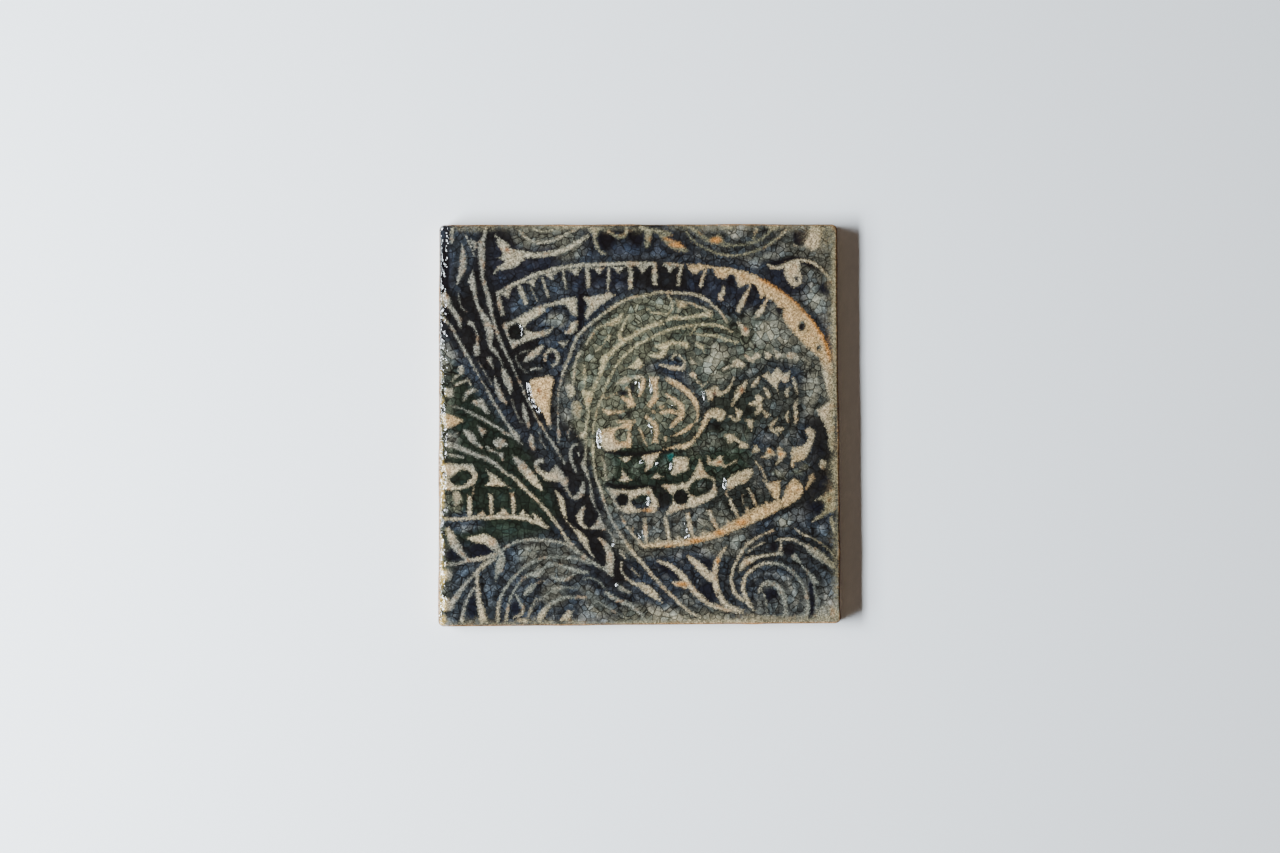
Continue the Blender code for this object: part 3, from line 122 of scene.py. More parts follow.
# The mesh, and the rows of its sides: how far inside the outline each lies, and its height in millimetres
FINE_STEP = 0.17
SHOULDER_STEPS = 8
FACE_TRIANGLES = 168000
CORRECTIONS = 3
SIDE_ROWS = ((0.0, 4.6), (0.05, 3.4), (0.0, 2.2), (0.03, 1.2), (0.06, 0.5), (0.16, 0.15), (0.4, 0.0))
CLAY_TOP = 6.2 * MM

# The studio, the camera and the photograph's frame
FLOOR_SIZE = 4.0
FLOOR_COLOUR = (247, 251, 254)
FLOOR_ROUGHNESS = 0.45
WINDOW_AT = (-0.40, -0.06, 0.49)
WINDOW_SIZE = (0.09, 0.36)
WINDOW_POWER = 8.3
GLOW_AT = (-0.47, -0.06, 0.41)
GLOW_SIZE = (0.16, 0.60)
GLOW_POWER = 5.9
WINDOW_COLOUR = (0.93, 1.0, 1.07)
SKY_COLOUR = (1.0, 0.77, 0.62)
SKY_STRENGTH = 0.105
LENS = 85.0
SENSOR = 36.0
FRAME_WIDTH = 0.3186
IMAGE_WIDTH = 1280
IMAGE_HEIGHT = 853
TILE_MIDDLE = (639.5, 425.5)

# Keeps a division from zero
TINY = 1e-12

# What the pattern's shapes leave on the grid: the distance inside the lands, and each land's height
land = np.full((GRID_CELLS, GRID_CELLS), -REACH)
tone = np.full((GRID_CELLS, GRID_CELLS), FULL)


def smooth_step(value, low, high):
    """From 0 at low to 1 at high, with soft ends."""
    share = np.clip((value - low) / (high - low), 0, 1)
    return share * share * (3 - 2 * share)


def between_cells(grid, i, j, a, b):
    """A grid's value at shares a and b of the way over its cells i and j."""
    return ((grid[j, i] * (1 - a) + grid[j, i + 1] * a) * (1 - b)
            + (grid[j + 1, i] * (1 - a) + grid[j + 1, i + 1] * a) * b)


def sample(grid, u, v):
    """The pattern grid's value at points of the face."""
    x, y = (u - GRID_START) / CELL, (v - GRID_START) / CELL
    i = np.clip(np.floor(x).astype(int), 0, GRID_CELLS - 2)
    j = np.clip(np.floor(y).astype(int), 0, GRID_CELLS - 2)
    return between_cells(grid, i, j, x - i, y - j)


def softened(grid, times):
    """A grid blurred by its neighbours a number of times."""
    for _ in range(times):
        for axis in (0, 1):
            grid = (np.roll(grid, 1, axis) + 2 * grid + np.roll(grid, -1, axis)) / 4
    return grid


def waver(u, v, size, seed):
    """Soft noise from -1 to 1 over the face, with swells of about the given size."""
    knots = np.random.default_rng(seed).uniform(-1, 1, (int(SIDE / size) + 3 * NOISE_MARGIN,) * 2)
    x, y = u / size + NOISE_MARGIN, v / size + NOISE_MARGIN
    i, j = np.floor(x).astype(int), np.floor(y).astype(int)
    return between_cells(knots, i, j, smooth_step(x - i, 0, 1), smooth_step(y - j, 0, 1))


def wavers(u, v, swells, middle=0):
    """Several swells of soft noise together, round a middle value."""
    return sum((share * waver(u, v, size, seed) for share, size, seed in swells), middle)


def pairs(numbers):
    """A flat run of numbers as points."""
    return np.array(numbers, float).reshape(-1, 2)


def smooth_curve(points, closed=False):
    """A centripetal spline through points, each with its place and any width."""
    if closed:
        guide = np.vstack([points[-1], points, points[:2]])
    else:
        guide = np.vstack([2 * points[0] - points[1], points, 2 * points[-1] - points[-2]])
    made = []
    for p0, p1, p2, p3 in zip(guide, guide[1:], guide[2:], guide[3:]):
        knots = [0.0]
        for before, after in ((p0, p1), (p1, p2), (p2, p3)):
            knots.append(knots[-1] + math.hypot(*(after - before)[:2]) ** 0.5)
        t0, t1, t2, t3 = knots
        for t in np.linspace(t1, t2, SPAN_STEPS, endpoint=False):
            a1 = ((t1 - t) * p0 + (t - t0) * p1) / (t1 - t0)
            a2 = ((t2 - t) * p1 + (t - t1) * p2) / (t2 - t1)
            a3 = ((t3 - t) * p2 + (t - t2) * p3) / (t3 - t2)
            b1 = ((t2 - t) * a1 + (t - t0) * a2) / (t2 - t0)
            b2 = ((t3 - t) * a2 + (t - t1) * a3) / (t3 - t1)
            made.append(((t2 - t) * b1 + (t - t1) * b2) / (t2 - t1))
    if not closed:
        made.append(points[-1])
    return np.array(made)


def from_segment(x, y, along):
    """The squared distance of points from a segment that starts at zero."""
    share = np.clip((x * along[0] + y * along[1]) / max(along @ along, TINY), 0, 1)
    return (x - share * along[0]) ** 2 + (y - share * along[1]) ** 2


def grid_range(low, high):
    """The grid's first and last line over a stretch of one axis."""
    first = max(int(math.floor((low - GRID_START) / CELL)), 0)
    last = min(int(math.ceil((high - GRID_START) / CELL)), GRID_CELLS - 1)
    return first, last + 1


def signed_distance(outline):
    """The grid's window round an outline, and each cell's distance inside it."""
    (left, right), (low, high) = (grid_range(outline[:, k].min() - REACH, outline[:, k].max() + REACH)
                                  for k in range(2))
    us = GRID_START + CELL * np.arange(left, right)
    vs = GRID_START + CELL * np.arange(low, high)
    near = np.full((len(vs), len(us)), REACH ** 2)
    turns = np.zeros((len(vs), len(us) + 1))
    for start, end in zip(outline, np.roll(outline, -1, axis=0)):
        along = end - start
        c0, c1 = np.searchsorted(us, (min(start[0], end[0]) - REACH, max(start[0], end[0]) + REACH))
        r0, r1 = np.searchsorted(vs, (min(start[1], end[1]) - REACH, max(start[1], end[1]) + REACH))
        away = from_segment(us[None, c0:c1] - start[0], vs[r0:r1, None] - start[1], along)
        near[r0:r1, c0:c1] = np.minimum(near[r0:r1, c0:c1], away)
        rows = np.arange(*np.searchsorted(vs, sorted((start[1], end[1]))))
        if len(rows):
            crossing = start[0] + (vs[rows] - start[1]) / along[1] * along[0]
            turns[rows, np.searchsorted(us, crossing)] += math.copysign(1, along[1])
    within = np.cumsum(turns, axis=1)[:, :-1] != 0
    away = np.sqrt(near)
    return (slice(low, high), slice(left, right)), np.where(within, away, -away)


def soft_max(a, b):
    """The larger of two distances, with a small fillet where they are equal."""
    share = np.clip(0.5 + 0.5 * (a - b) / JOIN_SOFTNESS, 0, 1)
    return b + (a - b) * share + JOIN_SOFTNESS * share * (1 - share)


def raise_land(outline, low=False):
    """Adds a land to the grid, a faint one if it is low."""
    window, inside = signed_distance(outline)
    tone[window] = np.where(inside > land[window], FAINT if low else FULL, tone[window])
    land[window] = soft_max(inside, land[window])


def sink(outline):
    """Takes an outline out of the lands that the grid already has."""
    window, inside = signed_distance(outline)
    land[window] = -soft_max(inside, -land[window])


def stroke(line, widths, low=False):
    """A land along a line, with its own width at each of the line's points."""
    ahead = np.gradient(line, axis=0)
    ahead /= np.maximum(np.hypot(ahead[:, 0], ahead[:, 1]), TINY)[:, None]
    aside = np.column_stack([-ahead[:, 1], ahead[:, 0]]) * widths[:, None] / 2
    raise_land(np.vstack([line + aside, (line - aside)[::-1]]), low)


def share_along(line):
    """How far along a line each of its points lies, from 0 to 1."""
    run = np.concatenate([[0], np.cumsum(np.hypot(*np.diff(line, axis=0).T))])
    return run / run[-1]


def band(widths, *route, low=False):
    """A stroke with its own width at each point of its route."""
    made = smooth_curve(np.column_stack([pairs(route), widths]))
    stroke(made[:, :2], made[:, 2], low)


def rail(width, *route, low=False):
    """A stroke of even width, a little narrower at its ends."""
    widths = np.full(len(route) // 2, float(width))
    widths[[0, -1]] *= NARROWED_END
    band(widths, *route, low=low)


def rails(*strokes):
    """Several rails, each by its width and its route."""
    for width, *route in strokes:
        rail(width, *route)


def leaf(width, *route):
    """A stroke that swells in its middle and is pointed at both ends."""
    line = smooth_curve(pairs(route))
    swell = np.sin(math.pi * share_along(line)) ** LEAF_SWELL
    stroke(line, LEAF_POINT + (width - LEAF_POINT) * swell)


def drop(width, *route):
    """A stroke with a round head and a long pointed tail."""
    line = smooth_curve(pairs(route))
    share = share_along(line)
    stroke(line, LEAF_POINT + width * np.minimum((share / DROP_HEAD) ** 0.5, DROP_REACH - share))


def patch(*corners, low=False):
    """A land with a smooth outline."""
    raise_land(smooth_curve(pairs(corners), closed=True), low)


def plate(*corners):
    """A land with a straight-edged outline."""
    raise_land(pairs(corners))


def pool(*corners):
    """A smooth hollow in the lands drawn before it."""
    sink(smooth_curve(pairs(corners), closed=True))


def round_outline(u, v, radius):
    """The points of a circle."""
    turn = np.arange(ROUND_SIDES) * math.tau / ROUND_SIDES
    return np.column_stack([u + radius * np.cos(turn), v + radius * np.sin(turn)])


def pit(u, v, radius):
    """A round hollow in the lands drawn before it."""
    sink(round_outline(u, v, radius))


def dot(u, v, radius):
    """A small round land."""
    raise_land(round_outline(u, v, radius))


def tooth(way, u0, v0, u1, v1, u2, v2):
    """A tooth of a border, pointing up or down: two feet, hollow flanks and a blunt tip."""
    hollow = way * TOOTH_HOLLOW
    left = ((u0 + 2 * u1) / 3, (v0 + 2 * v1) / 3 - hollow)
    right = ((u2 + 2 * u1) / 3, (v2 + 2 * v1) / 3 - hollow)
    plate(u0,v0, *left, u1 - TOOTH_TIP,v1, u1 + TOOTH_TIP,v1, *right, u2,v2)


def teeth(way, *corners):
    """Several teeth of a border, each by its foot, tip and other foot."""
    for places in corners:
        tooth(way, *places)


# The pattern's motifs, each a short drawing in pattern units from the tile's lower left corner

def corner_stems():
    """Stems and leaves of the top left corner."""
    rail(1.2, 3.5,99.3, 3.4,97, 3.3,95)
    leaf(1.9, 5.9,95.4, 6.2,92, 6.1,89, 5.3,87, 4.6,85)
    rail(.7, 6.9,97.5, 7.3,96, 8.2,94.4, 9,92)
    leaf(1.5, 8.2,96.3, 9,94.9, 9.2,93.3)
    rail(.5, 5,83.5, 5.2,81.5, 5.5,80, 6.3,78.8, 7.3,78, low=True)
    band((1.5,1.9,1.3,1.4,1.5,.4), 1.2,83, 2.1,81.5, 3,79.3, 4.2,77.7, 5.2,76.3, 5.8,73.8)
    rail(.8, .6,79, 1.2,77.2, 2,75.7)


def stem_sheaf():
    """The sheaf of stems from the top left corner to the foot of the tile."""
    band((1.1,1.1,1.8,2,1.4,1.1,1.2,1.4,1.1,1.1,.9,.8,.6,.6,.6,.7,.8,.6), 12,99.5, 11.5,97.3,
         10.8,95.5, 10.8,92.5, 10.9,89, 11.1,86.5, 12,83.5, 12.8,80.5, 13.6,77, 14.8,73, 16,69.8,
         17.3,67.3, 19.8,62, 22.2,56.5, 24,53, 26.5,48.6, 29,44.8, 31.8,40.2)
    band((.2,1.9,1.3,1,1.1,2,2.3,2.1,1.6,1.3,1.2,.7,.5), 8.6,88.6, 8.4,86, 9,83.3, 9.5,81,
         10.2,78.9, 11.9,76.2, 12.6,74.7, 13,73, 12.9,71.3, 13.1,69.7, 14.3,68.3, 15.3,66.7,
         16.2,64.8)
    band((.8,.9,.9,1.1,.7,.5,.8,.8,.9,.9,1.6,1.4,.3), 2,76, 3.7,73.7, 5.3,70.7, 7.2,67.5, 8.8,64.7,
         11,60.9, 12.3,58.7, 14,55.6, 16,52.3, 17.6,49.8, 19,48, 20,46.6, 20.9,45.2)
    band((1.3,1.1,.6,.7,.9), 7.4,75.8, 8.6,75, 9.5,73.4, 9.8,71.8, 9.6,70.2)
    patch(9.1,70.3, 10,70.5, 10.6,69, 10.4,67.6, 9.7,67, 9,67.6, 8.7,68.8)
    drop(1.5, 12.6,67.3, 13,65.8, 13.9,64)
    leaf(2, 15.9,64.6, 16.9,62, 17.8,59.5, 17.9,57.5)
    leaf(1.6, 14.2,62.3, 14.6,60, 15.4,57.6, 17.3,55)
    rail(.5, 10,65.8, 12,62.6, 13.5,60, low=True)
    rail(.6, 18.4,56.7, 19,54.3, 20.2,51.8, 21,50.3, low=True)
    leaf(1.5, 21,55.7, 22,51.7, 22.7,49.2)
    rail(.5, 23.3,54.5, 24.2,52.5, 24.8,51)
    leaf(1.6, 23.3,48, 23.3,46, 24,43.6)
    rail(.5, 25.2,48.5, 25.5,46.5, 26.9,44.2, low=True)
    plate(22.7,60.5, 23.1,61.4, 25,61.9, 27,62.3, 28,62.7, 29.1,61.3, 28.5,59, 28.2,56, 27.9,53.3,
          28.4,50.5, 28.2,48.8, 27.2,49.9, 26.7,51.7, 25.7,53.5, 24.2,55.3, 23.2,57, 22.8,58.8)


def sheaf_foot():
    """The leaves, commas and crescents in the lower half of the sheaf."""
    leaf(2.6, 18.4,42.7, 20.3,40.6, 22.6,37.8, 26.2,33.6)
    band((1.3,1.5,1.3,1.3,1.6), 26.4,41.3, 25,41, 24.5,39.9, 25.3,38.6, 26.9,37.5)
    patch(26.4,38.3, 27.6,38.6, 28.7,39.3, 29.4,40.2, 30.5,39.3, 31.4,37.9, 32.6,36.2, 32.4,34.6,
          33.4,32.2, 31.9,33.6, 31,35, 29.8,35.9, 28,36, 26.3,36.7)
    band((.5,1.2,1.7,1.5,.4), 32.7,32.6, 34,32, 35.4,32.8, 36,34.3, 36,36.1)
    leaf(1.6, 29.2,33.8, 30.6,31.5, 31.1,29.3, 31.9,26.4)
    band((.4,1.3,1.9,1.6,1,.4), 36.7,30.1, 35.8,28.8, 35.3,27.3, 35.5,26, 36.3,24.9, 37.6,24.2)
    plate(37.6,24.1, 38.9,25.5, 40.3,27.5, 41.2,25.9, 42.6,23.8, 40,23.9)
    band((.7,.9,1,.9,.6), 35.1,45.3, 33.5,44.8, 33,43, 33.3,41, 34.5,38.2)
    plate(34.6,47.2, 36,48.5, 37.2,50, 37.3,48, 36.8,45.8, 36,46.4)
    band((.6,.7,.9,1.3,1.2,.5,.9,1.1,.6,.5), 37,46.5, 36.8,44, 36.6,42, 36.3,40.2, 36.9,38.2,
         37.8,36, 38,34, 38.3,32, 39.3,29.3, 41,27)
    rail(.6, 35,43.2, 35.1,42.1)
    band((.5,1,.7,.7,.8,1,.8,.9,.9,.9,1,1,1,.9,.9,.8,.6), 38.2,46.6, 38.7,44.8, 38.6,42, 39,39,
         39.5,36.5, 40.4,34.3, 41.5,30.6, 43,26.8, 44.5,24.3, 46.3,21.4, 48.5,18.2, 51.3,15,
         54,11.7, 57,8.5, 60,5.5, 62.5,3.4, 65.5,1.6)
    rail(.7, 40.6,42, 41.4,40.6, 41.5,38, 42.2,36.2)
    rail(.8, 42.2,34.4, 43.3,32.6, 44.2,30.4, 45.1,28.8)
    band((.5,.8,.8,.6,.5), 45.5,27.5, 46.8,25, 48.4,22.8, 50,21, 51,20)
    rail(.6, 48.6,25, 48.3,23.3, low=True)
    rail(.6, 28.2,49.3, 27.5,51)
    rail(.7, 33.3,49.8, 32.5,48.3, 32.8,46.6, low=True)


def left_fan():
    """The fan of leaves and bars that fills the left side."""
    patch(5,64.8, 6,65, 6.6,63.8, 6.3,62.6, 5.4,62.6, 4.9,63.6)
    rail(.7, 5.5,62.8, 4.2,61.9, 3.2,61)
    band((.7,.8,.9,.5), 4.2,60, 6,60.8, 7.5,61.3, 8.1,60)
    patch(1.8,59.2, 3.6,59.5, 4,58.6, 3.8,57.1, 2.6,56.9, 1.7,57.6)
    leaf(1.4, 9.9,58.7, 8.5,58.7, 7.2,57.8, 6.3,56)
    plate(8.1,55.6, 9,56.4, 11,56.8, 12,55.6, 12.5,54.2, 13.1,53.3, 12.9,52.7, 11.9,53, 10.4,54.3)
    rail(.7, 2,55.2, 4,54.7, 6.2,54.2, low=True)
    band((.4,.8,.9,1,.9,.9,.8,.8), 6,54.2, 8,53.2, 10,52.2, 12,51.2, 14,50, 15.6,49, 17,48,
         18.8,47.1)
    patch(.8,52.8, 3,52.9, 5,52, 6.4,51.2, 5.4,50.5, 4.3,50, 3.2,49.3, 1.6,49.5)
    rail(.9, 2.3,47.8, 3.5,47.5, 5,48)
    leaf(2.2, 6.3,49, 8,47.4, 9.5,45.2)
    rail(.9, 9,46, 10.3,45, 11.2,44.3)
    patch(9.6,50.2, 11,49.6, 12.3,48.6, 11.6,48, 11,47.2, 10.3,48.5)
    patch(13.7,46, 14.4,46.9, 15.7,46.9, 17,46, 17.6,45.2, 16.6,44.6, 15.5,44.2, 14.3,44.6)
    rail(.8, 12,44.9, 13,44, 14.8,43)
    patch(14.7,42.9, 16.2,43.3, 16.5,42, 16.1,41.3, 15.4,42.2)
    rail(.9, 2.3,43, 4,42.6, 6.4,42)
    band((1.4,1.4,1.3,1.2,1,.8,.9,1.1,1,.9,.9,.9,.9,1,.9), 2,45.6, 6,44.3, 10,42.5, 13,41.4,
         15,39.8, 17,38.1, 19,37, 21,34.8, 24,32, 26,29.9, 28.3,27.2, 30.5,24, 32.7,20.9, 34.2,19.4,
         35.6,18)
    patch(.9,40.4, 5,40.5, 8.8,40.5, 9.5,38.9, 9.9,37, 9,35.3, 7,34.4, 5,34, 2,34, .9,34.6)
    pool(2.8,36.7, 4,37.6, 5.2,38.5, 6.3,39, 7.6,38.5, 8.5,37.6, 7.8,36.6, 7,35.6, 5.5,35.2, 4,35.7)
    pool(.7,37, 1.1,38.2, 1.7,38.2, 1.9,37, 1.7,36, 1.1,35.8)
    plate(11.9,39.3, 12.5,38.1, 12.8,37, 12.5,36, 11.7,35, 16.6,34.9, 18.3,34.3, 16.3,36.1,
          13.8,38.1)


def left_border():
    """The toothed border of the left paisley, with its pickets."""
    band((.9,1.1,1,1.1,1.2,1.2,1.2,1.2,1.2,1.1,.5), 1.5,26.9, 4,26.9, 6.5,26.9, 10,27.2, 13,27.2,
         16,27.3, 19,27.3, 21,27, 23,26.4, 25,25.6, 27.6,24.4)
    for left, peak, right, height in ((9.1,11.1,12.8,29), (14,16.3,18.3,29.7), (19.5,21.2,23.4,29.1)):
        plate(left,27.4, peak-.8,height-.8, peak,height, peak+.7,height-.8, right,27.3)
    patch(23.6,28.5, 24.6,27.8, 25.8,26.7, 27.5,24.5, 26,25, 24.2,26)
    rail(1.4, 7.9,32.8, 7.9,30, 7.8,27)
    rail(1.1, 13.1,33.1, 13.3,30.5, 13.4,27.8)
    rail(1.2, 18.5,33.3, 18.8,30.5, 18.9,27.5)
    rail(.6, 8.9,35, 8.8,33, low=True)
    patch(3.5,33.5, 5,33.8, 6,32, 5.2,30.8, 4.3,29.5, 4,31, low=True)


def foot_sprig():
    """The sprig in the bottom left corner."""
    band((.5,2,2.6,2.6,2.2,1.6), 7.2,22, 9.5,21.9, 11.8,21.8, 13.6,20.7, 15,19, 16,17.4)
    band((1.6,2.3,2.1,.9,.3), 15.9,18, 15.7,16.2, 15.2,14.2, 14.6,12.6, 14.3,11.2)
    band((1.4,1.3,1.2,1.1,1,.9,.7), 15,18.2, 12.5,17.4, 10,16.9, 7.5,16.6, 5.5,16, 3.5,15.6,
         1.4,15.5)
    band((1,2.2,2.6,1.8,1), 2.4,24.8, 3.2,22.8, 4.2,20.8, 5.7,18.6, 7.3,16.9)
    band((1.2,1.4,1.2,1.1,1.3,1.7,1.6,1), 14.6,17.4, 11.7,15.4, 9.6,13.4, 7.8,11.7, 6,9.5, 4.6,7.4,
         3,5.6, 1.2,4.2)
    patch(.9,7, 2.6,7.4, 4.2,6.6, 4.2,5.2, 2.6,4.2, 1,4.4)
    patch(.9,14.2, 2.4,14.5, 3.6,14, 3,12.6, 1.9,11.6, .9,12.2)
    band((1.1,1.1,1.3,1.5,1.9,2.2), 9.8,13.4, 9.8,11, 10,8.5, 10.4,6, 11,3.5, 11.5,.9)
    band((.8,.9,.9,1.1,1.4), 9.4,9.8, 7.9,8, 7,5.8, 6.4,3.8, 5.9,1)


def foot_arches():
    """The nested arches along the foot of the tile."""
    band((.9,1,.9,.9,.9,1,1.2,1.2,1.1,1.1,1,.9), 15.6,18.9, 18,20.4, 21,21.4, 24.5,21.6, 28,21.3,
         31.5,20.6, 34,19.2, 35.6,17.9, 37.6,16.4, 39.8,15, 42,13.6, 43.4,12.5)
    band((1,1.1,1,1,1,1,1,.9,.9,.9,.9,1.2,1), 14.9,1, 15,4, 15.6,7, 17,9.8, 19,12.4, 21.4,14.7,
         24,16.2, 26.5,17, 29,17.3, 31.5,17.2, 34,16.9, 36.2,16.3, 38.3,15.6)
    band((1,.8,.8,.8,.9,1,1.1), 17,1.4, 17.3,4.5, 18.2,7.4, 19.4,9.6, 21,11.8, 22.8,12.9, 24.4,13.4)
    leaf(2, 22.6,12.6, 24.8,13.2, 26.6,14.6)
    band((.6,.8,.8,1.1,1.2,.8), 26,14.4, 28.6,15.4, 31,15, 33.2,14.3, 35.4,13.6, 37.6,13.3)
    band((.6,1,1.1,1,.7), 19.2,8.4, 20.3,6.3, 21.2,4.6, 20.6,3, 18.8,2.4)
    leaf(1.7, 21.2,7.6, 22.8,9.2, 24.6,11)
    rail(.7, 24.2,10.6, 25.6,11.2, 27,11.2, low=True)
    band((.4,1.2,1.3,.9,.4), 28,12.6, 29.8,11.7, 31.8,11.8, 33.4,12.6, 35,13.6)
    band((.6,.8,.8,1.2,.6,.8,.7), 23.6,4.6, 25.2,6.6, 27,8, 29,9.2, 31,9.7, 33.5,9.6, 36,9.5,
         low=True)
    band((1.8,1.8,1.4,1.1,1,1,.9), 24.9,1.1, 26,3.2, 27.4,5, 29.4,6.4, 31.6,7.2, 34,7.3, 37,7)
    plate(30.1,1.1, 32.5,1.2, 33.5,2.6, 33.8,3.9, 32.2,4, 31,2.9)
    rail(1.1, 22,1.6, 22.8,3.4, 23.8,5.4, 24.5,7.3, low=True)
    rail(.8, 36,11.7, 38,12, 40,11, 41.6,9.2, low=True)
    band((.9,1.4,1.3,1.3,1,.7), 41.3,8.7, 43.2,7.3, 45.6,6, 48,5, 49.8,3.4, 51.4,1.6)
    leaf(1.4, 44.3,10.6, 45.7,9.3, 48.2,8.1)
    rail(.7, 39,6.5, 41.5,5, 44.5,3.2, 47,1.9, low=True)
    band((.6,1.5,2,2.2,2.2,.6), 39.9,22.1, 41.6,20.4, 42.6,18.2, 42.8,15.9, 42.6,14, 43.6,12.2)
    band((.5,1.5,1.9,1.2,.7,.5), 33.6,24.4, 35.2,22.9, 36.3,21.3, 37,19.8, 37.8,18.3, 39,17)
    rail(.5, 31.8,26.4, 32.8,25.2, 34,24.1)
    rail(.6, 41.8,24.2, 43,22.8, 44.4,20.8)
    leaf(1, 45.2,19.2, 45.8,17.9, 46.7,16.7)
    band((.6,.7,.8,.9,1.6,2.3,2.1,1.2,.4), 45.6,16, 45.6,13.9, 46.8,11.9, 48.6,10.6, 50.3,9.9, 52,9,
         53.6,7.8, 54.8,6.7, 55.7,5.7)
    rail(.5, 47.7,15, 48.8,13.5, 50.2,12.2, low=True)
    rail(.5, 56.4,9, 58.6,7, 61.6,4.4, low=True)


def foot_flower():
    """The flower at the foot: a forked stem between two leaves."""
    band((.6,1.1,1.4,1.8,1.7,1.6,1.5,1.3,1.3,1.3,1.2), 54.4,16.1, 56.4,15.5, 58.8,14.1, 61,11.9,
         62.3,10.1, 63.6,8.5, 65.2,6.9, 66.8,5.6, 69,4.6, 72,3.9, 76,3.2)
    patch(58,10.8, 60,11.2, 62,11.2, 62.6,9.8, 61.8,9, 60,9.5, 58.6,10)
    band((.7,1.9,2.2,2.3,1.8), 61.9,17.3, 63.9,15.6, 65.6,13.8, 67.4,12.2, 69,11)
    band((.4,1.1,1.5,1.5,1.6,1.7,1.6,1.5,1.4,1.6), 71.9,19.7, 70.4,17.8, 69.4,16, 68.9,14,
         68.8,11.8, 69,9.6, 69.8,7.6, 70.8,5.9, 72.2,4.6, 74.6,3.6)
    pit(69.5,7.5, .28)


def foot_scroll():
    """The great scroll in the bottom right corner."""
    band((.6,.8,.8,.9,.9,.9,.9,1,1,1.2,1,.6), 83.5,23.6, 80.6,22.4, 78.4,21.2, 76.6,19.8, 75.2,17.8,
         74,15.6, 73.1,13.3, 72.8,11, 73.3,8.8, 74.4,7.1, 76.4,5.8, 78.6,3.4)
    rail(.6, 88.6,24.2, 90.4,22.6, 93.4,21.3, 96,19.6, 98.4,16.9, 99.4,15.2)
    rail(.5, 76.9,17.9, 78.7,19.4, 81,20.6)
    band((.5,.9,.8,.6), 83.8,21, 86.4,21.4, 88.8,20.9, 90.4,20)
    leaf(2.4, 90.2,20.4, 93,18.3, 96,16.2, 99.2,13.3)
    band((.7,.7,.9), 85.3,21, 85.2,19.2, 85,18)
    plate(83.1,17.4, 84.5,18.5, 85.8,18.3, 85.7,16.9)
    band((.4,1.7,1.9,1.2,.9,.9,1.2), 74.7,12.7, 75.8,15, 77.4,16.2, 79.2,16.8, 81,17.2, 83,17.5,
         85,17.6)
    patch(87.5,16.8, 88.8,17.8, 89.6,16.8, 90.2,15.6, 89.2,15.3, 88.3,16)
    band((.8,.7,.8,1.6,1.2,.5), 89.6,16, 90.8,14.1, 92,12.8, 93.1,11.5, 93.8,10.6, 94.6,10)
    band((.9,1.3,1.2,1.1,1,1,1.2,1.1,1,1,1,1.1,1.3,1.5,1.6,1.6), 77.8,4.8, 76.4,6.8, 75.7,9,
         76,11.4, 77.6,13.5, 80,14.9, 82.6,15.3, 85,15, 87.2,13.8, 89,12.1, 90.4,10, 91.2,8, 91.6,6,
         91.6,4, 91.3,2.4, 91,1)
    band((.6,1,1.5,1.6,1.7,1.7,1.5,1.4,1.5), 79.6,7.8, 80,9.4, 81.4,10.3, 83,10.2, 84.4,9.3,
         85.4,7.8, 86,6, 86.2,4, 86.2,2)
    rail(.6, 80,9.2, 81,7.2, 81.5,5, 81.5,2.6)
    rail(1, 93,12, 93.4,9, 93.9,6, 93.6,2.6, low=True)
    patch(76,1, 80,2.6, 84,2.5, 88,2.4, 91,3, 91,1, low=True)


def fish_tail():
    """The fish-tail flower and its stem, in the top left."""
    patch(14,97.7, 16.3,95.5, 18.6,94, 21.8,93.2, 21.8,91.5, 20.6,90.2, 18.5,88.8, 16,88.5,
          13.6,87.5, 14.6,89.2, 16.3,90.8)
    plate(16.3,90.7, 14.6,91.6, 17.4,92.6, 19,91.6)
    patch(17.3,92.6, 15.3,93.9, 14.4,95.6, 15.4,96.3, 18,94.4)
    band((1.9,1.6,1.6,1.6,1.5,1.3,1.1), 21.3,92.3, 24,92.3, 28,92.6, 31,93.4, 34,94.8, 36,96,
         37.8,97.3)
    rail(.9, 20,98.6, 21.7,96.8, 23.6,95.6, 26,95.5, 29,96, 32,97.3, 35,98.9)
    rail(.8, 23.3,99.3, 24.6,98.4, 26.5,98.1, 28.6,98.6, 30.5,99.8)
    patch(37.4,98.9, 38.6,99.4, 40.3,99.4, 41.2,98.9, 40.4,97.8, 39.8,96.4, 38.8,97, 38,97.8)
    band((1.3,1.1,1.1,1,.9,.6), 39,97.4, 39.3,95.9, 39.7,94.5, 40.4,93.4, 41.3,92.8, 42.3,92.5)


def top_ring():
    """The ring, post and rust leaf along the top edge."""
    band((.9,1,1.1,1.2,1.4,1.3,.9), 41.7,99.2, 42.8,98, 44,97.1, 45.4,96.7, 46.6,97.2, 47.2,98.4,
         47.2,99.6)
    band((.6,1.1,1.8,2.2,1.7,1.4,.8), 49.8,99.6, 51.2,98.8, 52.6,98.2, 52.6,97, 52.4,95.8,
         52.2,94.6, 51.9,93.8)
    band((.6,1.1,1.2,1.4,1.4,.9), 51.4,98.8, 53,98.4, 55,98.1, 56.6,97.7, 58,97.3, 58.6,97)
    patch(54.8,97.8, 56.6,97.6, 58,96.4, 59.6,95.9, 61.1,95, 62.8,92.9, 60.6,92.9, 58.6,93.5,
          57,94.7, 55.7,96)


